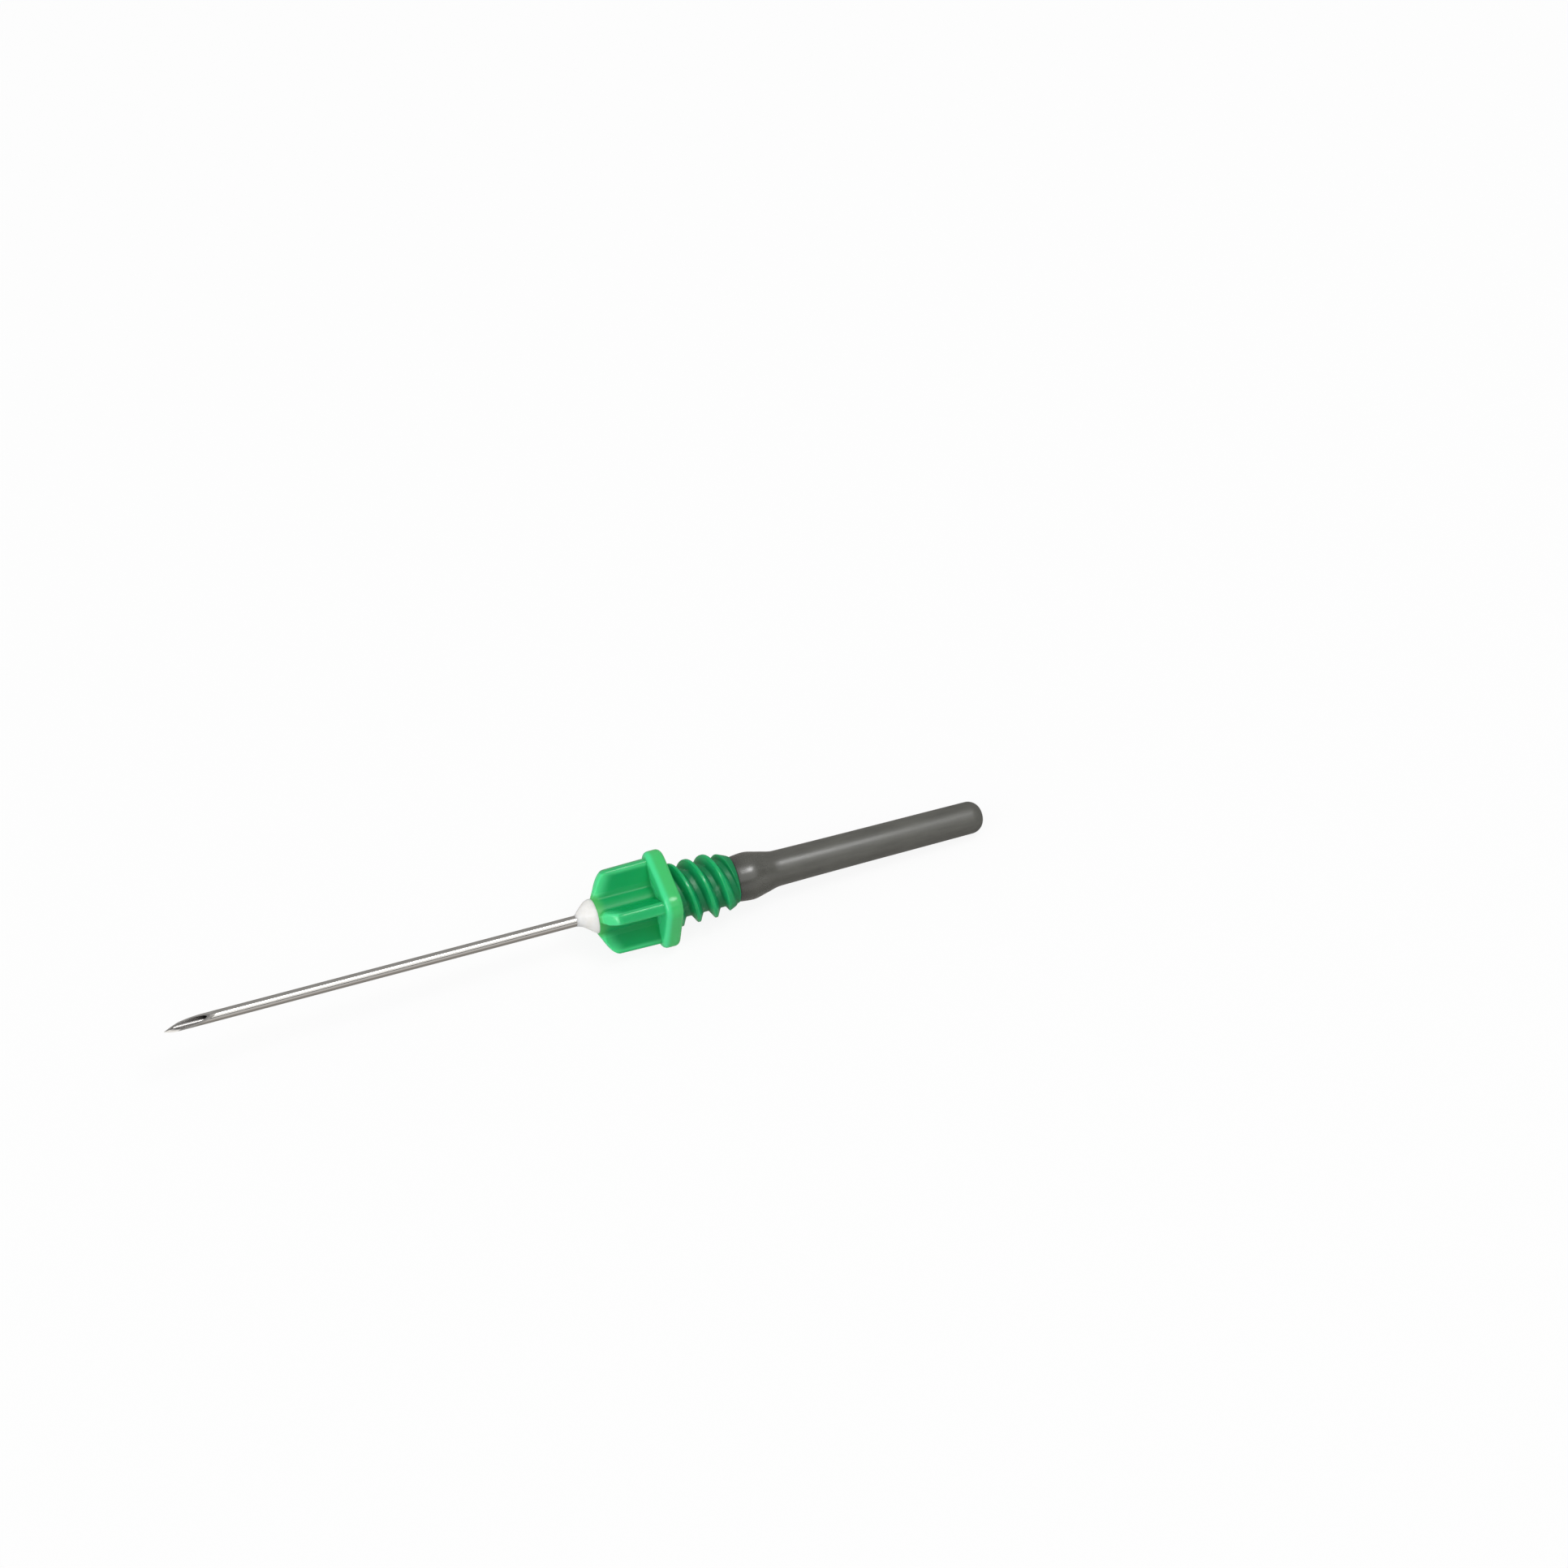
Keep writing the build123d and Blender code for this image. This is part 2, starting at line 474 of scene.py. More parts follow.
@dataclass(frozen=True)
class NodeSheet:
    """A node tree, of a material, a world or a modifier, that is filled from Python.

    Args:
        tree: The node tree.
    """

    tree: bpy.types.NodeTree

    def add(self, kind: str, settings: dict[str, Any], sockets: dict[Union[str, int], Value]) -> Outputs:
        """Adds a node.

        Args:
            kind: The node's type.
            settings: What is set on the node itself, before its sockets.
            sockets: The value or link of each input, by name or by place.

        Returns:
            The node's outputs.
        """
        node = self.tree.nodes.new(kind)
        for name, setting in settings.items():
            setattr(node, name, setting)
        for key, value in sockets.items():
            if isinstance(value, Wire):
                self.tree.links.new(value.socket, node.inputs[key])
            else:
                node.inputs[key].default_value = value
        return Outputs(self, node)

    def axes(self, vector: Wire) -> Outputs:
        """The three parts of a vector, by place."""
        return self.add("ShaderNodeSeparateXYZ", {}, {0: vector})

    def blend(self, share: Number, first: Value, second: Value) -> Wire:
        """A colour that goes from the first to the second.

        Args:
            share: 0 gives the first colour and 1 the second.
            first: One colour.
            second: The other colour.

        Returns:
            The blended colour.
        """
        return self.add("ShaderNodeMix", {"data_type": "RGBA"}, {0: share, 6: first, 7: second})[2]

    def bumps(self, height: Wire, relief: Relief) -> Wire:
        """The surface's direction, with a height laid over it as bumps."""
        sockets = {"Height": height, "Strength": relief.strength, "Distance": relief.distance}
        return self.add("ShaderNodeBump", {}, sockets)["Normal"]

    def glow(self, colour: Value) -> Wire:
        """A shader that gives off a colour as it is."""
        return self.add("ShaderNodeEmission", {}, {"Color": colour, "Strength": 1.0})[0]

    def mixed(self, share: Wire, first: Wire, second: Wire) -> Wire:
        """A shader that goes from the first to the second as the share goes from 0 to 1."""
        return self.add("ShaderNodeMixShader", {}, {0: share, 1: first, 2: second})[0]

    def surface(self, sockets: dict[str, Value]) -> Wire:
        """The shader of a solid piece.

        Args:
            sockets: The value or link of each of its inputs that isn't left as it is.

        Returns:
            The shader.
        """
        return self.add("ShaderNodeBsdfPrincipled", {"subsurface_method": "RANDOM_WALK"}, sockets)[0]


@dataclass(frozen=True)
class Grain:
    """One noise in a finish.

    Args:
        scale: How many waves it has to a millimetre.
        detail: How many finer layers it holds.
        roughness: How strong those layers are.
        stretch: What the scale is multiplied by along the needle, to its side and up, where that isn't 1.
    """

    scale: float
    detail: float
    roughness: float
    stretch: Optional[tuple[float, float, float]] = None


@dataclass(frozen=True)
class NeedlePlace:
    """A place on the needle as a material sees it, in millimetres.

    Args:
        sheet: The material's node sheet.
        vector: The place along the needle, to its side and up from its axis.
    """

    sheet: NodeSheet
    vector: Wire

    @classmethod
    def on(cls, sheet: NodeSheet, lie: Lie) -> "NeedlePlace":
        """Turns a piece's coordinates into the needle's own.

        Args:
            sheet: The material's node sheet.
            lie: How the needle lies.

        Returns:
            The place.
        """
        sockets = {
            "Vector": sheet.add("ShaderNodeTexCoord", {}, {})["Object"],
            "Location": lie.point,
            "Rotation": (0.0, lie.tilt, 0.0),
            "Scale": (MM, MM, MM),
        }
        return cls(sheet, sheet.add("ShaderNodeMapping", {"vector_type": "TEXTURE"}, sockets)["Vector"])

    @property
    def station(self) -> Wire:
        """The distance from the patient point along the axis."""
        return self.sheet.axes(self.vector)[0]

    @property
    def radius(self) -> Wire:
        """The distance from the axis."""
        axes = self.sheet.axes(self.vector)
        return (axes[1] * axes[1] + axes[2] * axes[2]) ** 0.5

    def noise(self, grain: Grain) -> Wire:
        """Soft noise, from about 0.2 to 0.8.

        Args:
            grain: What the noise is like.

        Returns:
            The noise as a value.
        """
        vector = self.vector
        if grain.stretch:
            scaled = {0: vector, 1: grain.stretch}
            vector = self.sheet.add("ShaderNodeVectorMath", {"operation": "MULTIPLY"}, scaled)["Vector"]
        sockets = {
            "Vector": vector,
            "Scale": grain.scale,
            "Detail": grain.detail,
            "Roughness": grain.roughness,
        }
        return self.sheet.add("ShaderNodeTexNoise", {"noise_dimensions": "3D"}, sockets)[0]


Band = tuple[float, float]


def band_at(station: float, band: Band) -> Band:
    """A band counted from a station in metres, as two stations in millimetres."""
    return station / MM + band[0], station / MM + band[1]


@dataclass(frozen=True)
class Finish:
    """What every finish has: a name, and a material that its own class fills.

    A swing is how far a noise, counted from its middle, makes a value go both ways.

    Args:
        name: The name of the material.
    """

    name: str

    def material(self, lie: Lie) -> bpy.types.Material:
        """Makes the material.

        Args:
            lie: How the needle lies, which the patterns follow.

        Returns:
            The material, with its nodes.
        """
        made = bpy.data.materials.new(self.name)
        made.use_nodes = True
        made.node_tree.nodes.clear()
        sheet = NodeSheet(made.node_tree)
        shader = self.fill(sheet, NeedlePlace.on(sheet, lie))
        sheet.add("ShaderNodeOutputMaterial", {}, {"Surface": shader})
        return made

    def fill(self, sheet: NodeSheet, place: NeedlePlace) -> Wire:
        """Adds the nodes of the finish.

        Args:
            sheet: The material's node sheet.
            place: The place that its patterns follow.

        Returns:
            The shader that goes to the material's output.
        """
        raise NotImplementedError


@dataclass(frozen=True)
class MouldedPlastic(Finish):
    """Green moulded plastic that lets a little light through; the paler glow of its thin edges and flange,
    and the shade, highlights and reflections of its thread, are painted into its colour.

    Its lengths are in millimetres, except the scatter's. A band is where a share is 0 and where it is 1.

    Args:
        layout: Where the nose, the flange and the thread begin.
    """

    layout: Layout
    core_colour: tuple = (0.001, 0.380, 0.105, 1.0)
    edge_glow_colour: tuple = (0.070, 0.690, 0.270, 1.0)
    flange_front_glow_colour: tuple = (0.065, 0.700, 0.290, 1.0)
    rim_glow_colour: tuple = (0.065, 0.600, 0.175, 1.0)
    valley_shade_colour: tuple = (0.001, 0.230, 0.075, 1.0)
    crest_highlight_colour: tuple = (0.010, 0.440, 0.150, 1.0)
    glue_colour: tuple = (0.150, 0.660, 0.150, 1.0)
    valley_reflection_colour: tuple = (0.180, 0.370, 0.240, 1.0)
    wing_reach: float = 3.18
    core_radius: float = 1.33
    cone_slope: float = 1.90
    reach_pull: float = 2.0
    cone_pull: float = 0.9
    corner_blend: float = 0.3
    edge_swing: float = 0.25
    edge_band: Band = (0.95, 0.12)
    wing_band: Band = (1.35, 1.75)
    outermost_band: Band = (0.22, 0.08)
    outermost_loss: float = 0.6
    glue_length_band: Band = (0.9, 0.0)
    glue_radius_band: Band = (2.0, 1.2)
    glue_share: float = 0.55
    flange_band: Band = (-0.10, 0.08)
    rim_band: Band = (0.15, 0.55)
    thread_band: Band = (-0.08, 0.04)
    crest_band: Band = (1.75, 2.35)
    crest_swing: float = 0.3
    reflection_noise_band: Band = (0.50, 0.66)
    reflection_radius_band: Band = (2.0, 1.78)
    reflection_free_end_band: Band = (-1.4, -0.9)
    reflection_share: float = 0.55
    matt_band: Band = (1.95, 1.50)
    thread_depth: float = 0.45
    flow: Grain = Grain(0.9, 3.0, 0.55, (0.35, 1.0, 1.0))
    patches: Grain = Grain(1.3, 4.0, 0.65, (1.0, 0.8, 0.8))
    skin: Grain = Grain(1.7, 2.0, 0.45)
    scuffs: Grain = Grain(1.8, 3.0, 0.6, (0.7, 1.6, 1.6))
    relief: Relief = Relief(0.35, 0.006 * MM)
    gloss_roughness: float = 0.20
    scuff_swing: float = 0.12
    matt_roughness: float = 0.22
    refraction: float = 1.49
    mirror_share: float = 0.38
    scatter: float = 0.45
    scatter_reach: tuple = (0.25, 1.0, 0.45)
    scatter_scale: float = 0.8 * MM

    def _painted_glow_share(self, station: Wire, radius: Wire, flow: Wire) -> Wire:
        """How near a place lies to the wings' outer edges and front cone, which sets how much painted glow
        it gets.

        Args:
            station: The place's station.
            radius: Its distance from the axis.
            flow: Noise that makes the pale band uneven.

        Returns:
            The share of painted edge glow: 1 near the edges, a little less on the outermost ones, and 0 well
                inside them.
        """
        to_reach = self.wing_reach - radius
        cone = (station - self.layout.nose_face / MM) * self.cone_slope + self.core_radius
        to_cone = (cone - radius) * math.cos(math.atan(self.cone_slope))
        inside = (to_reach * self.reach_pull).soft_least(to_cone * self.cone_pull, self.corner_blend)
        inside = inside + (flow - NOISE_MIDDLE) * self.edge_swing
        outermost = to_reach.step(*self.outermost_band) * self.outermost_loss
        return inside.step(*self.edge_band) * radius.step(*self.wing_band) * (1.0 - outermost)

    def _colour(self, sheet: NodeSheet, place: NeedlePlace) -> Wire:
        """Adds the nodes of the colour.

        Args:
            sheet: The material's node sheet.
            place: The place on the needle.

        Returns:
            The colour, with light painted into it: a pale glow along the wings' thin edges and over the
                flange, paler on the flange's front, the deep core, painted shade in the thread's valleys,
                painted highlights on its crests, and painted reflections in patches of its valleys.
        """
        layout = self.layout
        station = place.station
        radius = place.radius
        flow = place.noise(self.flow)
        # painted light: the wings' thin edges and front cone are painted paler, as glow through the thin
        # plastic and light falling on the chamfers
        edge_glow_share = self._painted_glow_share(station, radius, flow)
        nose = sheet.blend(edge_glow_share, self.core_colour, self.edge_glow_colour)
        near_glue = station.step(*band_at(layout.nose_face, self.glue_length_band))
        near_glue = near_glue * radius.step(*self.glue_radius_band) * self.glue_share
        nose = sheet.blend(near_glue, nose, self.glue_colour)
        # painted light: the whole flange is painted paler than the core, as glow through its thin plate, and
        # paler on its front face, lit by the left lamps, than on its rim
        on_rim = station.step(*band_at(layout.flange_front, self.rim_band))
        flange = sheet.blend(on_rim, self.flange_front_glow_colour, self.rim_glow_colour)
        # painted light: the thread is painted darker in its valleys as shade and paler towards its crests as
        # highlight
        crest = (radius + (flow - NOISE_MIDDLE) * self.crest_swing).step(*self.crest_band)
        thread = sheet.blend(crest, self.valley_shade_colour, self.crest_highlight_colour)
        # painted reflection: greyish patches in the thread's valleys stand for reflections of the white
        # room; none are painted near the shank's end
        near_end = station.step(*band_at(layout.shank_end, self.reflection_free_end_band))
        in_patch = place.noise(self.patches).step(*self.reflection_noise_band)
        painted_reflection = in_patch * radius.step(*self.reflection_radius_band) * (1.0 - near_end)
        thread = sheet.blend(painted_reflection * self.reflection_share, thread, self.valley_reflection_colour)
        past_nose = station.step(*band_at(layout.flange_front, self.flange_band))
        past_flange = station.step(*band_at(layout.flange_back, self.thread_band))
        return sheet.blend(past_flange, sheet.blend(past_nose, nose, flange), thread)

    def _roughness(self, place: NeedlePlace) -> Wire:
        """The roughness: duller on the core between the wings and in the thread's valleys."""
        in_thread = place.station.step(self.layout.flange_front / MM, self.layout.flange_back / MM)
        matt = (place.radius - in_thread * self.thread_depth).step(*self.matt_band)
        scuffs = (place.noise(self.scuffs) - NOISE_MIDDLE) * self.scuff_swing
        return self.gloss_roughness + scuffs + matt * self.matt_roughness

    def fill(self, sheet: NodeSheet, place: NeedlePlace) -> Wire:
        """Adds the nodes of the plastic."""
        return sheet.surface(
            {
                "Base Color": self._colour(sheet, place),
                "Roughness": self._roughness(place),
                "Normal": sheet.bumps(place.noise(self.skin), self.relief),
                "IOR": self.refraction,
                "Specular IOR Level": self.mirror_share,
                "Subsurface Weight": self.scatter,
                "Subsurface Radius": self.scatter_reach,
                "Subsurface Scale": self.scatter_scale,
            }
        )


@dataclass(frozen=True)
class DrawnSteel(Finish):
    """Drawn and polished stainless tube, with fine lines along its length and a rougher bore, painted darker
    grey as shade inside the tube.
    """

    pale_colour: tuple = (0.66, 0.64, 0.605, 1.0)
    dark_colour: tuple = (0.56, 0.54, 0.51, 1.0)
    bore_shade_colour: tuple = (0.30, 0.29, 0.28, 1.0)
    bore_band: Band = (0.33, 0.30)
    bore_roughness: float = 0.15
    lines: Grain = Grain(1.0, 4.0, 0.6, (0.25, 24.0, 24.0))
    cloud: Grain = Grain(0.7, 3.0, 0.5)
    line_share: float = 0.6
    cloud_share: float = 0.4
    base_roughness: float = 0.15
    line_swing: float = 0.16
    cloud_swing: float = 0.06
    relief: Relief = Relief(0.4, 0.0015 * MM)

    def fill(self, sheet: NodeSheet, place: NeedlePlace) -> Wire:
        """Adds the nodes of the drawn steel."""
        lines = place.noise(self.lines)
        cloud = place.noise(self.cloud)
        # painted shade: the bore inside the tube is painted darker grey
        in_bore = place.radius.step(*self.bore_band)
        pale = lines * self.line_share + cloud * self.cloud_share
        outside = sheet.blend(pale, self.dark_colour, self.pale_colour)
        swing = (lines - NOISE_MIDDLE) * self.line_swing + (cloud - NOISE_MIDDLE) * self.cloud_swing
        return sheet.surface(
            {
                "Base Color": sheet.blend(in_bore, outside, self.bore_shade_colour),
                "Metallic": 1.0,
                "Roughness": self.base_roughness + swing + in_bore * self.bore_roughness,
                "Normal": sheet.bumps(lines, self.relief),
            }
        )


@dataclass(frozen=True)
class GroundSteel(Finish):
    """Ground bevels of the point, greyer than the tube, with fine marks across them."""

    pale_colour: tuple = (0.40, 0.39, 0.375, 1.0)
    dark_colour: tuple = (0.27, 0.265, 0.255, 1.0)
    marks: Grain = Grain(1.0, 3.0, 0.6, (38.0, 2.0, 2.0))
    base_roughness: float = 0.24
    mark_swing: float = 0.2
    relief: Relief = Relief(0.5, 0.002 * MM)

    def fill(self, sheet: NodeSheet, place: NeedlePlace) -> Wire:
        """Adds the nodes of the ground steel."""
        marks = place.noise(self.marks)
        return sheet.surface(
            {
                "Base Color": sheet.blend(marks, self.dark_colour, self.pale_colour),
                "Metallic": 1.0,
                "Roughness": self.base_roughness + (marks - NOISE_MIDDLE) * self.mark_swing,
                "Normal": sheet.bumps(marks, self.relief),
            }
        )


@dataclass(frozen=True)
class CuredAdhesive(Finish):
    """Milky cured adhesive, glossy and a little uneven."""

    clear_colour: tuple = (0.80, 0.79, 0.76, 1.0)
    milky_colour: tuple = (0.87, 0.86, 0.84, 1.0)
    cloud: Grain = Grain(2.4, 3.0, 0.55)
    cloud_band: Band = (0.25, 0.75)
    waves: Grain = Grain(1.6, 2.0, 0.45)
    base_roughness: float = 0.24
    cloud_swing: float = 0.18
    relief: Relief = Relief(0.5, 0.03 * MM)
    refraction: float = 1.5
    scatter: float = 0.5
    scatter_reach: tuple = (1.0, 0.95, 0.85)
    scatter_scale: float = 0.5 * MM

    def fill(self, sheet: NodeSheet, place: NeedlePlace) -> Wire:
        """Adds the nodes of the adhesive."""
        cloud = place.noise(self.cloud)
        milky = cloud.step(*self.cloud_band)
        return sheet.surface(
            {
                "Base Color": sheet.blend(milky, self.clear_colour, self.milky_colour),
                "Roughness": self.base_roughness + (cloud - NOISE_MIDDLE) * self.cloud_swing,
                "Normal": sheet.bumps(place.noise(self.waves), self.relief),
                "IOR": self.refraction,
                "Subsurface Weight": self.scatter,
                "Subsurface Radius": self.scatter_reach,
                "Subsurface Scale": self.scatter_scale,
            }
        )


@dataclass(frozen=True)
class SatinRubber(Finish):
    """Warm grey rubber with a satin skin, a fine grain and a trace of mould dust.

    It is painted darker beside the hub, as the hub's shadow, and a little more matt towards its closed end.
    Its bands are in millimetres.
    """

    dark_colour: tuple = (0.060, 0.060, 0.051, 1.0)
    pale_colour: tuple = (0.124, 0.123, 0.107, 1.0)
    grain: Grain = Grain(16.0, 3.0, 0.6)
    cloud: Grain = Grain(0.8, 3.0, 0.6, (0.4, 1.0, 1.0))
    drag: Grain = Grain(1.0, 3.0, 0.6, (0.5, 6.0, 6.0))
    colour_shares: tuple = (0.25, 0.6, 0.3)
    colour_start: float = 0.08
    colour_band: Band = (0.1, 0.9)
    hub_shadow_band: Band = (45.5, 44.3)
    hub_shadow_share: float = 0.9
    base_roughness: float = 0.27
    grain_swing: float = 0.14
    cloud_swing: float = 0.12
    neck_band: Band = (45.8, 48.5)
    neck_roughness: float = 0.09
    end_band: Band = (48.5, 61.0)
    end_roughness: float = 0.12
    height_share: float = 0.6
    relief: Relief = Relief(0.5, 0.004 * MM)
    refraction: float = 1.52
    mirror_share: float = 0.70

    def fill(self, sheet: NodeSheet, place: NeedlePlace) -> Wire:
        """Adds the nodes of the rubber."""
        grain = place.noise(self.grain)
        cloud = place.noise(self.cloud)
        drag = place.noise(self.drag)
        station = place.station
        grain_share, cloud_share, drag_share = self.colour_shares
        dust = cloud * cloud_share + grain * grain_share + drag * drag_share - self.colour_start
        # painted shadow: beside the hub the pale dust is mostly taken out, so the rubber is painted darker
        # there as the hub's shadow
        pale = dust.step(*self.colour_band) * (1.0 - station.step(*self.hub_shadow_band) * self.hub_shadow_share)
        swing = (grain - NOISE_MIDDLE) * self.grain_swing + (cloud - NOISE_MIDDLE) * self.cloud_swing
        matt = station.step(*self.neck_band) * self.neck_roughness
        matt = matt + station.step(*self.end_band) * self.end_roughness
        height = grain * self.height_share + drag * self.height_share
        return sheet.surface(
            {
                "Base Color": sheet.blend(pale, self.dark_colour, self.pale_colour),
                "Roughness": self.base_roughness + swing + matt,
                "Normal": sheet.bumps(height, self.relief),
                "IOR": self.refraction,
                "Specular IOR Level": self.mirror_share,
            }
        )


@dataclass(frozen=True)
class TableTop(Finish):
    """White table that stays white to the camera, keeps part of the needle's shadow and is grey in mirrors.

    Its band is in millimetres, from the needle's side towards the camera.
    """

    colour: tuple = (0.90, 0.90, 0.90, 1.0)
    white: tuple = (1.0, 1.0, 1.0, 1.0)
    shown_white: float = 0.90
    mirrored_near: tuple = (0.35, 0.335, 0.32, 1.0)
    mirrored_far: tuple = (0.66, 0.62, 0.60, 1.0)
    mirrored_band: Band = (10.0, 22.0)

    def fill(self, sheet: NodeSheet, place: NeedlePlace) -> Wire:
        """Adds the nodes of the table."""
        surface = sheet.add("ShaderNodeBsdfDiffuse", {}, {"Color": self.colour})[0]
        before_needle = -1.0 * sheet.axes(place.vector)[1]
        share = before_needle.step(*self.mirrored_band)
        mirrored = sheet.blend(share, self.mirrored_near, self.mirrored_far)
        rays = sheet.add("ShaderNodeLightPath", {}, {})
        seen = sheet.mixed(rays["Is Camera Ray"] * self.shown_white, surface, sheet.glow(self.white))
        return sheet.mixed(rays["Is Glossy Ray"], seen, sheet.glow(mirrored))


def dress(piece: bpy.types.Object, lie: Lie, finishes: Sequence[Finish]) -> None:
    """Gives a piece its materials, in the order of its slots.

    Args:
        piece: The piece.
        lie: How the needle lies.
        finishes: One finish for each slot.
    """
    piece.data.materials.clear()
    for finish in finishes:
        piece.data.materials.append(finish.material(lie))


def hand_over(piece: bpy.types.Object, node: str) -> None:
    """Attaches a finished piece to the root body and hides the CAD node that it replaces.

    Args:
        piece: The finished piece.
        node: The CAD node that it replaces.
    """
    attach(piece, "root")
    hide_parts(node)
    log.info("%s: %d faces, stands for the node %s", piece.name, len(piece.data.polygons), node)


@dataclass(frozen=True)
class LancetPoint:
    """A lancet point: one long bevel that faces up, and two short ones beside the tip.

    Args:
        length: The length of the long bevel.
        full_length: The bevel length that the short bevels are steep for.
        turn: How far the short bevels are turned from the long one.
        slope: The slope of the short bevels.
    """

    length: float
    full_length: float = 4.0 * MM
    turn: float = math.radians(45)
    slope: float = math.radians(20)

    def depth(self, side: float, rise: float, tube_radius: float) -> float:
        """How far behind the tip the metal begins.

        Args:
            side: The place in the tube's section, to the side.
            rise: The place in the tube's section, upwards.
            tube_radius: The radius of the tube.

        Returns:
            The distance from the tip.
        """
        above = rise + tube_radius
        long_bevel = above * self.length / (2 * tube_radius)
        short_slope = math.tan(self.slope) * self.full_length / self.length
        lean = abs(side) * math.sin(self.turn) + above * math.cos(self.turn)
        return max(long_bevel, lean / short_slope)


@dataclass(frozen=True)
class Cannula:
    """The steel tube, ground to a point at both ends."""

    lie: Lie
    layout: Layout
    lumen_radius: float = 0.265 * MM
    patient_point: LancetPoint = LancetPoint(length=4.0 * MM)
    tube_point: LancetPoint = LancetPoint(length=2.2 * MM)
    column_count: int = 144
    point_rows: int = 12
    shaft_rows: int = 24
    point_room: float = 0.4 * MM
    sharp_angle: float = math.radians(20)

    def build(self) -> bpy.types.Object:
        """Makes the tube: outer wall, tube end, lumen and patient end, joined in one skin."""
        outer = self._wall(self.layout.tube_radius)
        inner = self._wall(self.lumen_radius)
        rings = outer + inner[::-1]
        bands = frozenset({len(outer) - 1, len(rings) - 1})
        piece = RingSkin("steel_cannula", self.lie, rings, Closing.JOINED, bands, self.sharp_angle).build()
        dress(piece, self.lie, [DrawnSteel("drawn_steel"), GroundSteel("ground_steel")])
        hand_over(piece, "cannula")
        return piece

    def _wall(self, radius: float) -> list[Ring]:
        """The rings of one wall, from the patient point to the tube point.

        Args:
            radius: The radius of the wall.

        Returns:
            The rings, of which the first and last follow the grinds.
        """
        flat_ring = round_ring(0.0, radius, self.column_count)
        tube_radius = self.layout.tube_radius
        fronts = [self.patient_point.depth(spot.side, spot.rise, tube_radius) for spot in flat_ring]
        end = self.layout.cannula_end
        backs = [end - self.tube_point.depth(spot.side, spot.rise, tube_radius) for spot in flat_ring]
        shaft_start = self.patient_point.length + self.point_room
        shaft_end = end - self.tube_point.length - self.point_room
        near = [shaft_start] * self.column_count
        far = [shaft_end] * self.column_count
        stretches = [
            (fronts, near, self.point_rows),
            (near, far, self.shaft_rows),
            (far, backs, self.point_rows),
        ]
        rings = []
        for starts, ends, row_count in stretches:
            for row in range(row_count):
                places = [between(low, high, row / row_count) for low, high in zip(starts, ends)]
                rings.append([Spot(place, spot.side, spot.rise) for place, spot in zip(places, flat_ring)])
        rings.append([Spot(back, spot.side, spot.rise) for back, spot in zip(backs, flat_ring)])
        return rings


@dataclass(frozen=True)
class AdhesiveBead:
    """The cured drop of adhesive that fills the hub's well and climbs the tube, fuller above than below."""

    lie: Lie
    layout: Layout
    collar: float = 0.05 * MM
    top_wall: float = 0.03 * MM
    rim_radius: float = 1.30 * MM
    mean_swell: float = 0.21 * MM
    swell_lean: float = 0.155 * MM
    full_side: float = math.radians(32)
    column_count: int = 96
    row_count: int = 20

    def build(self) -> bpy.types.Object:
        """Makes the bead: its visible drop, the plug in the well and the bore for the tube."""
        layout = self.layout
        foot = layout.nose_face + layout.well_depth
        rings = [round_ring(layout.bead_top - self.collar, layout.tube_radius, self.column_count)]
        rings += [self._drop_ring(row / self.row_count) for row in range(self.row_count + 1)]
        rings.append(round_ring(layout.nose_face, layout.well_radius, self.column_count))
        rings.append(round_ring(foot, layout.bore_radius, self.column_count))
        rings.append(round_ring(foot, layout.tube_radius, self.column_count))
        piece = RingSkin("adhesive_drop", self.lie, rings, Closing.JOINED).build()
        dress(piece, self.lie, [CuredAdhesive("cured_adhesive")])
        hand_over(piece, "adhesive_bead")
        return piece

    def _drop_ring(self, share: float) -> Ring:
        """One ring of the drop's skin.

        Args:
            share: 0 at the tube and 1 at the rim on the hub.

        Returns:
            The ring, fuller on the side that the adhesive gathered on.
        """
        station = between(self.layout.bead_top, self.layout.nose_face, share)
        cone = between(self.layout.tube_radius + self.top_wall, self.rim_radius, share)
        arch = 4 * share * (1 - share)
        ring = []
        for spot in round_ring(station, 1.0, self.column_count):
            lean = self.swell_lean * math.cos(spot.angle - self.full_side)
            reach = cone + arch * (self.mean_swell * share * share + lean)
            ring.append(Spot(station, spot.side * reach, spot.rise * reach))
        return ring


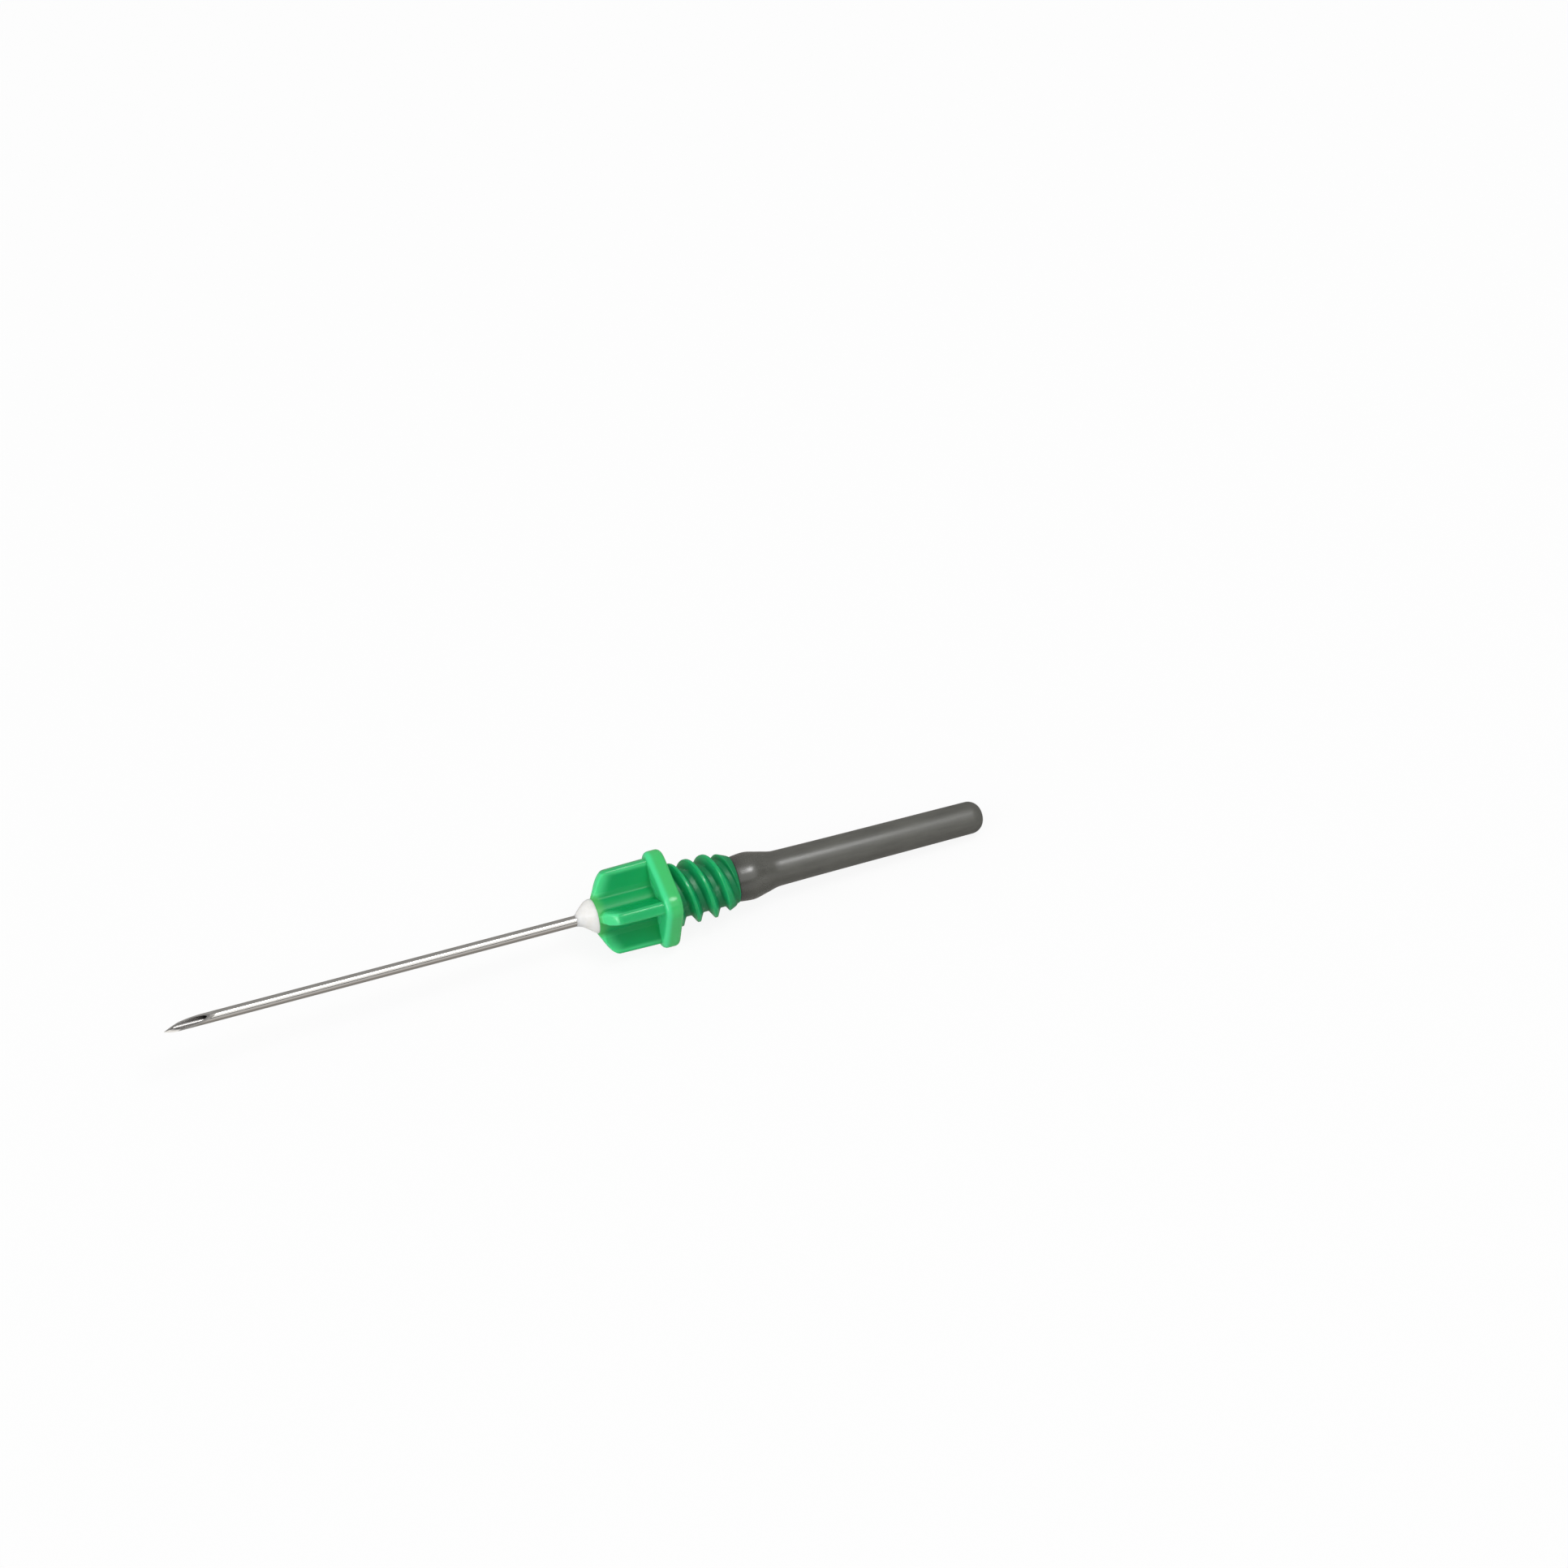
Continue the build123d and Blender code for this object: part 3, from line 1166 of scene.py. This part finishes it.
@dataclass(frozen=True)
class WingCross:
    """The section of the hub's nose: a round core with four wings, coned off at the front.

    Each half wing is drawn from the middle of its tip to the middle of the valley beside it, with a fixed
    number of steps for the tip, its corner, the flank, the root fillet and the core.
    """

    start: float
    length: float
    core_radius: float = 1.33 * MM
    wing_count: int = 4
    reach: float = 3.16 * MM
    reach_growth: float = 0.06 * MM
    tip_thickness: float = 0.84 * MM
    root_thickness: float = 1.02 * MM
    thickness_growth: float = 0.07 * MM
    cone_length: float = 0.92 * MM
    cone_blend: float = 0.90 * MM
    edge_radius: float = 0.22 * MM
    root_fillet: float = 0.26 * MM
    front_share: float = 0.40
    front_length: float = 0.45 * MM
    tip_steps: int = 3
    corner_steps: int = 5
    flank_steps: int = 6
    fillet_steps: int = 4
    core_steps: int = 4

    @property
    def half_steps(self) -> int:
        """The number of steps from the middle of a wing's tip to the middle of a valley."""
        wing = self.tip_steps + self.corner_steps + self.flank_steps
        return wing + self.fillet_steps + self.core_steps

    @property
    def count(self) -> int:
        """The number of spots of the whole section."""
        return 2 * self.wing_count * self.half_steps

    def ring(self, station: float) -> Ring:
        """The section's outline at a station.

        Args:
            station: A station between the nose face and the flange.

        Returns:
            The ring, whose first spot is the middle of the first wing's tip.
        """
        return self.spun(self.half_wing(station), station)

    def spun(self, half: Sequence[tuple[float, float]], station: float) -> Ring:
        """Repeats a half wing, and its mirror image, round the axis.

        Args:
            half: Places out along the wing and across it, from its middle to the valley.
            station: The station of the ring.

        Returns:
            The ring.
        """
        ring = []
        for wing in range(self.wing_count):
            turn = FULL_TURN * (wing + 0.5) / self.wing_count
            mirrored = [(out, -across) for out, across in half[:0:-1]]
            following = FULL_TURN / self.wing_count
            for out, across in half:
                ring.append(self._turned(out, across, turn, station))
            for out, across in mirrored[1:]:
                ring.append(self._turned(out, across, turn + following, station))
        return ring

    @staticmethod
    def _turned(out: float, across: float, turn: float, station: float) -> Spot:
        """The spot that lies out along a wing and across it.

        Args:
            out: Distance from the axis along the wing.
            across: Distance to the wing's side.
            turn: The angle of the wing.
            station: The station of the spot.

        Returns:
            The spot.
        """
        side = out * math.cos(turn) - across * math.sin(turn)
        rise = out * math.sin(turn) + across * math.cos(turn)
        return Spot(station, side, rise)

    def half_wing(self, station: float) -> list[tuple[float, float]]:
        """Half of one wing, and half of the valley beside it.

        Args:
            station: The station of the section.

        Returns:
            Places out along the wing and across it.
        """
        growth = (station - self.start) / self.length
        reach = self.reach + growth * self.reach_growth
        fullness = between(self.front_share, 1.0, min((station - self.start) / self.front_length, 1.0))
        tip = (self.tip_thickness + growth * self.thickness_growth) / 2 * fullness
        root = (self.root_thickness + growth * self.thickness_growth) / 2 * fullness
        cone_slope = (self.reach - self.core_radius) / self.cone_length
        cone = self.core_radius + (station - self.start) * cone_slope

        def half_width(out: float) -> float:
            """Half the wing's thickness, out along it."""
            return root + (tip - root) * out / reach

        def end(across: float) -> float:
            """Where the wing ends, across it: on its outer edge or on the front cone."""
            return soft_least(math.sqrt(max(cone * cone - across * across, 0.0)), reach, self.cone_blend)

        core_out = math.sqrt(self.core_radius**2 - root**2)
        edge_out = max(end(tip), core_out)
        free_height = edge_out - core_out
        room = min(free_height / (2 * self.edge_radius + self.root_fillet), 1.0)
        edge = self.edge_radius * room
        fillet = self.root_fillet * room
        edge_across = half_width(edge_out)
        places = []
        for step in range(self.tip_steps):
            across = (edge_across - edge) * step / self.tip_steps
            lean = step / self.tip_steps
            places.append((between(max(end(across), edge_out), edge_out, lean * lean), across))
        for step in range(self.corner_steps + 1):
            angle = math.pi / 2 * step / self.corner_steps
            places.append(
                (edge_out - edge + edge * math.cos(angle), edge_across - edge + edge * math.sin(angle))
            )
        foot = half_width(self.core_radius)
        fillet_out = math.sqrt((self.core_radius + fillet) ** 2 - (foot + fillet) ** 2)
        corner_out = edge_out - edge
        for step in range(1, self.flank_steps + 1):
            out = between(corner_out, fillet_out, step / self.flank_steps)
            places.append((out, between(edge_across, foot, step / self.flank_steps)))
        touch = math.atan2(foot + fillet, fillet_out)
        for step in range(1, self.fillet_steps + 1):
            angle = between(-math.pi / 2, touch - math.pi, step / self.fillet_steps)
            places.append(
                (fillet_out + fillet * math.cos(angle), foot + fillet + fillet * math.sin(angle))
            )
        valley = math.pi / self.wing_count
        for step in range(1, self.core_steps + 1):
            angle = between(touch, valley, step / self.core_steps)
            places.append((self.core_radius * math.cos(angle), self.core_radius * math.sin(angle)))
        return places


@dataclass(frozen=True)
class RoundedSquare:
    """The flange's outline, with as many steps as the wings' section and its corners behind the wings."""

    cross: WingCross
    half_width: float = 3.00 * MM
    corner_radius: float = 1.35 * MM
    corner_share: float = 0.58

    def ring(self, station: float, inset: float) -> Ring:
        """The outline, drawn in by a distance all round.

        Args:
            station: The station of the ring.
            inset: How far it is drawn in.

        Returns:
            The ring, whose first spot is the middle of a corner.
        """
        corner = self.corner_radius - inset
        middle = (self.half_width - self.corner_radius) * math.sqrt(2)
        steps = self.cross.half_steps
        corner_steps = round(steps * self.corner_share)
        flat_end = (self.half_width - inset) * math.sqrt(0.5)
        places = []
        for step in range(corner_steps + 1):
            angle = math.pi / 4 * step / corner_steps
            places.append((middle + corner * math.cos(angle), corner * math.sin(angle)))
        arc_end = places[-1]
        for step in range(1, steps - corner_steps + 1):
            share = step / (steps - corner_steps)
            places.append((between(arc_end[0], flat_end, share), between(arc_end[1], flat_end, share)))
        return self.cross.spun(places, station)


@dataclass(frozen=True)
class ThreadedShank:
    """The double-start thread behind the flange, made by Geometry Nodes.

    The tree bends a grid into a tube whose columns follow the helix, so each ridge runs along grid lines.
    The turn is the angle of one ridge's middle at the flange's front face.
    """

    layout: Layout
    column_count: int
    start_count: int = 2
    pitch: float = 1.33 * MM
    crest_radius: float = 2.37 * MM
    root_radius: float = 1.76 * MM
    crest_flat: float = 0.22 * MM
    flank_angle: float = math.radians(30)
    turn: float = math.radians(158.6)
    lead_in_length: float = 1.3 * MM
    lead_in_radius: float = 1.80 * MM
    edge_blend: float = 0.14 * MM
    row_count: int = 84

    def rings(self) -> list[Ring]:
        """Runs the tree and reads its grid.

        Returns:
            The rings of the shank, from the flange to its free end.
        """
        carrier = bpy.data.objects.new("thread_carrier", bpy.data.meshes.new("thread_carrier"))
        bpy.context.scene.collection.objects.link(carrier)
        modifier = carrier.modifiers.new("helical_thread", "NODES")
        modifier.node_group = self._tree()
        sizes = self._sizes()
        for item in modifier.node_group.interface.items_tree:
            if item.item_type == "SOCKET" and item.in_out == "INPUT" and item.name in sizes:
                modifier[item.identifier] = sizes[item.name]
        evaluated = carrier.evaluated_get(bpy.context.evaluated_depsgraph_get())
        mesh = bpy.data.meshes.new_from_object(evaluated)
        carrier.modifiers.remove(modifier)
        row_length = self.column_count + 1
        spots = [Spot(*vertex.co) for vertex in mesh.vertices]
        rows = [spots[first:first + self.column_count] for first in range(0, len(spots), row_length)]
        bpy.data.meshes.remove(mesh)
        bpy.data.objects.remove(carrier)
        return rows

    def _sizes(self) -> dict[str, float]:
        """The value of each named input of the tree."""
        turn_in_flange = FULL_TURN * self.layout.flange_thickness / (self.pitch * self.start_count)
        return {
            "Start Station": self.layout.flange_back,
            "Length": self.layout.thread_length,
            "Starts": float(self.start_count),
            "Pitch": self.pitch,
            "Crest Radius": self.crest_radius,
            "Root Radius": self.root_radius,
            "Crest Flat": self.crest_flat,
            "Flank Slope": math.tan(self.flank_angle),
            "Turn At Start": self.turn + turn_in_flange,
            "Lead-in Length": self.lead_in_length,
            "Lead-in Radius": self.lead_in_radius,
            "Edge Blend": self.edge_blend,
        }

    def _tree(self) -> bpy.types.NodeTree:
        """Builds the tree.

        Returns:
            The tree, with one named input for each size.
        """
        tree = bpy.data.node_groups.new("helical_thread", "GeometryNodeTree")
        for name, size in self._sizes().items():
            socket = tree.interface.new_socket(name, in_out="INPUT", socket_type="NodeSocketFloat")
            socket.default_value = size
        tree.interface.new_socket("Material", in_out="INPUT", socket_type="NodeSocketMaterial")
        tree.interface.new_socket("Shank", in_out="OUTPUT", socket_type="NodeSocketGeometry")
        sheet = NodeSheet(tree)
        given = sheet.add("NodeGroupInput", {}, {})
        counts = {"Vertices X": self.row_count + 1, "Vertices Y": self.column_count + 1}
        grid = sheet.add("GeometryNodeMeshGrid", {}, {"Size X": 1.0, "Size Y": 1.0} | counts)["Mesh"]
        flat = sheet.add("GeometryNodeInputPosition", {}, {})["Position"]
        axes = sheet.axes(flat)
        behind = (axes[0] + 0.5) * given["Length"]
        around = axes[1] + 0.5

        to_ridge = abs((around * given["Starts"] + 0.5).fraction() - 0.5) * given["Pitch"]
        full_height = given["Crest Radius"] - given["Root Radius"]
        on_flank = full_height - (to_ridge - given["Crest Flat"] / 2.0) / given["Flank Slope"]
        trimmed = on_flank.soft_least(full_height, given["Edge Blend"])
        height = -1.0 * (-1.0 * trimmed).soft_least(0.0, given["Edge Blend"])
        before_end = given["Length"] - behind
        cone_rise = given["Crest Radius"] - given["Lead-in Radius"]
        cone = given["Lead-in Radius"] + before_end * cone_rise / given["Lead-in Length"]
        radius = (given["Root Radius"] + height).soft_least(cone, given["Edge Blend"])

        lead = given["Pitch"] * given["Starts"]
        angle = given["Turn At Start"] + around * FULL_TURN + behind / lead * FULL_TURN
        station = given["Start Station"] + behind
        bent = sheet.add(
            "ShaderNodeCombineXYZ", {}, {0: station, 1: radius * angle.cosine(), 2: radius * angle.sine()}
        )[0]
        tube = sheet.add("GeometryNodeSetPosition", {}, {"Geometry": grid, "Position": bent})[0]
        plain = sheet.add("GeometryNodeRealizeInstances", {}, {0: tube})[0]
        material = {"Geometry": plain, "Material": given["Material"]}
        dressed = sheet.add("GeometryNodeSetMaterial", {}, material)[0]
        sheet.add("NodeGroupOutput", {}, {"Shank": dressed})
        return tree


@dataclass(frozen=True)
class Hub:
    """The green moulding: winged nose, flange, threaded shank, nipple and bore."""

    lie: Lie
    layout: Layout
    rim_round: float = 0.05 * MM
    flange_edge_radius: float = 0.40 * MM
    fine_rows_reach: float = 1.7
    cone_rows: int = 22
    wing_rows: int = 10
    edge_rows: int = 6

    def build(self) -> bpy.types.Object:
        """Makes the hub as one closed skin, from the nose's rim over the outside and back by the bore."""
        cross = WingCross(self.layout.nose_face, self.layout.nose_length)
        nose = self._nose(cross)
        flange = self._flange(RoundedSquare(cross))
        shank = ThreadedShank(self.layout, cross.count).rings()
        first = matching_index(shank[0], flange[-1][0])
        shank = [ring[first:] + ring[:first] for ring in shank]
        rings = nose + flange + shank + self._nipple_and_bore(cross.count, shank[-1][0].angle)
        piece = RingSkin("green_hub", self.lie, rings, Closing.JOINED).build()
        dress(piece, self.lie, [MouldedPlastic("moulded_green_plastic", self.layout)])
        hand_over(piece, "hub")
        return piece

    def _nose(self, cross: WingCross) -> list[Ring]:
        """The rings of the winged nose, from its rim to the flange.

        Args:
            cross: The section of the nose.

        Returns:
            The rings.
        """
        face = self.layout.nose_face
        cone_end = face + cross.cone_length * self.fine_rows_reach
        rings = [self._face_ring(cross, cross.core_radius - self.rim_round)]
        rim = face + self.rim_round
        for row in range(self.cone_rows):
            rings.append(cross.ring(between(rim, cone_end, row / self.cone_rows)))
        for row in range(self.wing_rows + 1):
            rings.append(cross.ring(between(cone_end, self.layout.flange_front, row / self.wing_rows)))
        return rings

    def _face_ring(self, cross: WingCross, radius: float) -> Ring:
        """A round ring on the nose face, with its spots at the angles of the section's spots."""
        station = self.layout.nose_face
        angles = [spot.angle for spot in cross.ring(station)]
        return [Spot(station, radius * math.cos(angle), radius * math.sin(angle)) for angle in angles]

    def _flange(self, outline: RoundedSquare) -> list[Ring]:
        """The rings of the flange, over its front edge, its rim and its back edge.

        Args:
            outline: The flange's outline.

        Returns:
            The rings.
        """
        radius = self.flange_edge_radius
        rounding = []
        for row in range(self.edge_rows + 1):
            angle = math.pi / 2 * row / self.edge_rows
            rounding.append((radius * (1 - math.sin(angle)), radius * (1 - math.cos(angle))))
        front = [outline.ring(self.layout.flange_front + depth, inset) for inset, depth in rounding]
        back = [outline.ring(self.layout.flange_back - depth, inset) for inset, depth in rounding]
        return front + back[::-1]

    def _nipple_and_bore(self, count: int, start: float) -> list[Ring]:
        """The rings of the nipple, of the bore back through the hub and of the adhesive's well.

        Args:
            count: How many spots a ring holds.
            start: The angle of each ring's first spot.

        Returns:
            The rings.
        """
        layout = self.layout
        outline = [
            (layout.shank_end, layout.nipple_neck_radius),
            (layout.barb_start, layout.nipple_neck_radius),
            (layout.barb_start, layout.nipple_barb_radius),
            (layout.nipple_end, layout.nipple_tip_radius),
            (layout.nipple_end, layout.bore_radius),
            (layout.nose_face + layout.well_depth, layout.bore_radius),
            (layout.nose_face, layout.well_radius),
        ]
        return [round_ring(station, radius, count, start) for station, radius in outline]


@dataclass(frozen=True)
class ValveSleeve:
    """The rubber sleeve, stretched over the nipple's barb and closed at its far end."""

    lie: Lie
    layout: Layout
    base_radius: float = 1.68 * MM
    bulge_radius: float = 1.78 * MM
    bulge_length: float = 1.15 * MM
    waist_length: float = 2.30 * MM
    waist_radius: float = 1.55 * MM
    neck_length: float = 3.40 * MM
    neck_radius: float = 1.32 * MM
    end_radius: float = 1.19 * MM
    end_round: float = 1.00 * MM
    base_round: float = 0.16 * MM
    lumen_radius: float = 0.60 * MM
    blind_end_radius: float = 0.30 * MM
    column_count: int = 96
    base_rows: int = 5
    body_rows: int = 60
    row_crowding: float = 1.35
    end_rows: int = 12
    sharp_angle: float = math.radians(50)

    def build(self) -> bpy.types.Object:
        """Makes the sleeve: the hollow from its blind end to the base, then the outside to the round end."""
        outline = self._hollow() + self._outside()
        rings = [round_ring(station, radius, self.column_count) for station, radius in outline]
        skin = RingSkin("rubber_sleeve", self.lie, rings, Closing.POLES, sharp_angle=self.sharp_angle)
        piece = skin.build()
        dress(piece, self.lie, [SatinRubber("satin_grey_rubber")])
        hand_over(piece, "valve_sleeve")
        return piece

    def _hollow(self) -> list[tuple[float, float]]:
        """Stations and radii inside the sleeve, from the blind end to the base."""
        layout = self.layout
        return [
            (layout.lumen_end, self.blind_end_radius),
            (layout.lumen_end, self.lumen_radius),
            (layout.nipple_end, self.lumen_radius),
            (layout.nipple_end, layout.nipple_tip_radius),
            (layout.barb_start, layout.nipple_barb_radius),
            (layout.barb_start, layout.nipple_neck_radius),
            (layout.shank_end, layout.nipple_neck_radius),
        ]

    def _outside(self) -> list[tuple[float, float]]:
        """Stations and radii outside the sleeve, from the base to the round end."""
        base = self.layout.shank_end
        end = self.layout.sleeve_end
        places = []
        for row in range(self.base_rows + 1):
            angle = math.pi / 2 * row / self.base_rows
            radius = self.base_radius - self.base_round * (1 - math.sin(angle))
            places.append((base + self.base_round * (1 - math.cos(angle)), radius))
        body_start = base + self.base_round
        body_end = end - self.end_round
        for row in range(1, self.body_rows + 1):
            station = between(body_start, body_end, (row / self.body_rows) ** self.row_crowding)
            places.append((station, self._radius(station)))
        tip_radius = self.end_radius - self.end_round
        for row in range(1, self.end_rows + 1):
            angle = math.pi / 2 * row / self.end_rows
            radius = tip_radius + self.end_round * math.cos(angle)
            places.append((body_end + self.end_round * math.sin(angle), radius))
        return places

    def _radius(self, station: float) -> float:
        """The outer radius of the body at a station.

        Args:
            station: A station between the rounded base and the round end.

        Returns:
            The radius: a bulge over the barb, a waist behind it and a slow taper to the end.
        """
        base = self.layout.shank_end
        knots = [
            (base, self.base_radius),
            (base + self.bulge_length, self.bulge_radius),
            (base + self.waist_length, self.waist_radius),
            (base + self.neck_length, self.neck_radius),
            (self.layout.sleeve_end - self.end_round, self.end_radius),
        ]
        return curve_through(knots, station)


def curve_through(knots: Sequence[tuple[float, float]], place: float) -> float:
    """A smooth curve through knots that never swings past them.

    Args:
        knots: Places and values, in rising order of place.
        place: Where the curve is read.

    Returns:
        The curve's value there.
    """
    slopes = [(high[1] - low[1]) / (high[0] - low[0]) for low, high in zip(knots, knots[1:])]
    tangents = [slopes[0]]
    for before, after in zip(slopes, slopes[1:]):
        tangents.append(2 * before * after / (before + after) if before * after > 0 else 0.0)
    tangents.append(slopes[-1])
    last = len(knots) - 2
    index = next((number for number in range(last) if place < knots[number + 1][0]), last)
    (low_place, low), (high_place, high) = knots[index], knots[index + 1]
    width = high_place - low_place
    share = (place - low_place) / width
    squared = share * share
    cubed = squared * share
    return (
        low * (2 * cubed - 3 * squared + 1)
        + high * (3 * squared - 2 * cubed)
        + tangents[index] * width * (cubed - 2 * squared + share)
        + tangents[index + 1] * width * (cubed - squared)
    )


@dataclass(frozen=True)
class SoftBox:
    """A soft lamp that looks at the needle.

    Args:
        name: The lamp's name.
        turn: Its direction round the needle in degrees, from +X towards +Y.
        height: Its angle above the table in degrees.
        distance: Its distance from the needle.
        width: The width of its face.
        depth: The depth of its face.
        power: Its power in watts.
    """

    name: str
    turn: float
    height: float
    distance: float
    width: float
    depth: float
    power: float

    def build(self, aim: Vector) -> bpy.types.Object:
        """Hangs the lamp.

        Args:
            aim: The point that it looks at.

        Returns:
            The lamp.
        """
        lamp = bpy.data.lights.new(self.name, "AREA")
        lamp.shape = "RECTANGLE"
        lamp.size = self.width
        lamp.size_y = self.depth
        lamp.energy = self.power
        hung = bpy.data.objects.new(self.name, lamp)
        turn, height = math.radians(self.turn), math.radians(self.height)
        flat = math.cos(height)
        away = Vector((flat * math.cos(turn), flat * math.sin(turn), math.sin(height)))
        hung.location = aim + away * self.distance
        hung.rotation_euler = away.to_track_quat("Z", "Y").to_euler()
        bpy.context.scene.collection.objects.link(hung)
        return hung


@dataclass(frozen=True)
class Studio:
    """The white table, the soft light and the camera at the photograph's angle.

    A level is a brightness of the world, and a band is a part of its directions, by their share of Y or Z.
    """

    lie: Lie
    table_width: float = 3.0
    table_segments: int = 8
    camera_turn: float = math.radians(19.76)
    camera_height: float = math.radians(58.23)
    camera_distance: float = 4.0
    frame_width: float = 114.94 * MM
    aim: tuple = (19.237 * MM, 7.998 * MM, 0.0)
    sensor_width: float = 36.0
    view_depth: float = 20.0
    near_fill_level: float = 0.17
    far_fill_level: float = 0.42
    ceiling_level: float = 0.52
    far_wall_level: float = 0.40
    near_gap_level: float = 0.08
    near_card_level: float = 0.72
    camera_side_band: Band = (0.15, -0.05)
    card_top_band: Band = (0.36, 0.44)
    ceiling_band: Band = (0.58, 0.66)
    far_ceiling_lift: float = 0.24
    lamps: tuple[SoftBox, ...] = (
        SoftBox("overhead_softbox", 270, 72.5, distance=0.566, width=0.90, depth=0.82, power=1.75),
        SoftBox("overhead_core", 348, 72, distance=0.50, width=0.16, depth=0.12, power=0.70),
        SoftBox("left_softbox", 190, 30, distance=0.60, width=0.40, depth=0.30, power=0.6),
        SoftBox("left_strip", 188, 7, distance=0.60, width=0.55, depth=0.14, power=1.35),
    )

    def build(self) -> None:
        """Sets up everything round the needle."""
        self._set_camera()
        self._lay_table()
        self._set_world()
        needle_middle = Vector()
        for lamp in self.lamps:
            lamp.build(needle_middle)
        bpy.context.scene.view_settings.view_transform = "Standard"

    def _set_camera(self) -> None:
        """Points a long lens the way that the photograph was taken."""
        lens = bpy.data.cameras.new("photo_camera")
        lens.sensor_width = self.sensor_width
        lens.lens = self.camera_distance / self.frame_width * self.sensor_width
        lens.clip_end = self.view_depth
        camera = bpy.data.objects.new("photo_camera", lens)
        turn, height = self.camera_turn, self.camera_height
        flat = math.cos(height)
        away = Vector((-flat * math.sin(turn), -flat * math.cos(turn), math.sin(height)))
        camera.location = Vector(self.aim) + away * self.camera_distance
        camera.rotation_euler = away.to_track_quat("Z", "Y").to_euler()
        bpy.context.scene.collection.objects.link(camera)
        bpy.context.scene.camera = camera

    def _lay_table(self) -> None:
        """Lays the table under the needle."""
        top = bmesh.new()
        count = self.table_segments
        bmesh.ops.create_grid(top, x_segments=count, y_segments=count, size=self.table_width / 2)
        mesh = bpy.data.meshes.new("white_table")
        top.to_mesh(mesh)
        top.free()
        table = bpy.data.objects.new("white_table", mesh)
        bpy.context.scene.collection.objects.link(table)
        dress(table, self.lie, [TableTop("white_table_top")])

    def _set_world(self) -> None:
        """Fills the room with soft light, more of it from the far side, and shows white to the camera.

        Metal and gloss mirror a room of their own: a grey far wall and, on the camera's side, a pale card
        with a dark gap above it, under a grey ceiling.
        """
        world = bpy.data.worlds.new("white_room")
        world.use_nodes = True
        world.node_tree.nodes.clear()
        sheet = NodeSheet(world.node_tree)
        rays = sheet.add("ShaderNodeLightPath", {}, {})
        direction = sheet.axes(sheet.add("ShaderNodeTexCoord", {}, {})["Generated"])
        on_camera_side = direction[1].step(*self.camera_side_band)
        over_card = direction[2].step(*self.card_top_band)
        overhead = (direction[2] - (1.0 - on_camera_side) * self.far_ceiling_lift).step(*self.ceiling_band)
        near_level = self.near_card_level + over_card * (self.near_gap_level - self.near_card_level)
        wall_level = self.far_wall_level + on_camera_side * (near_level - self.far_wall_level)
        mirrored_level = wall_level + overhead * (self.ceiling_level - wall_level)
        fill_level = self.far_fill_level + on_camera_side * (self.near_fill_level - self.far_fill_level)
        level = fill_level + rays["Is Glossy Ray"] * (mirrored_level - fill_level)
        level = level + rays["Is Camera Ray"] * (1.0 - level)
        lit = {"Color": (1.0, 1.0, 1.0, 1.0), "Strength": level}
        background = sheet.add("ShaderNodeBackground", {}, lit)[0]
        sheet.add("ShaderNodeOutputWorld", {}, {"Surface": background})
        bpy.context.scene.world = world


def main() -> None:
    """Builds the studio and the needle's four pieces, in order."""
    logging.basicConfig(level=logging.INFO, format="%(name)s: %(message)s")
    layout = Layout()
    lie = Lie.of_mount(frame["record"], "shank_thread", layout.flange_back)
    log.info("lies at %.2f degrees", math.degrees(lie.tilt))
    Studio(lie).build()
    for sub_assembly in (Hub, Cannula, AdhesiveBead, ValveSleeve):
        sub_assembly(lie, layout).build()


if __name__ == "__main__":
    main()
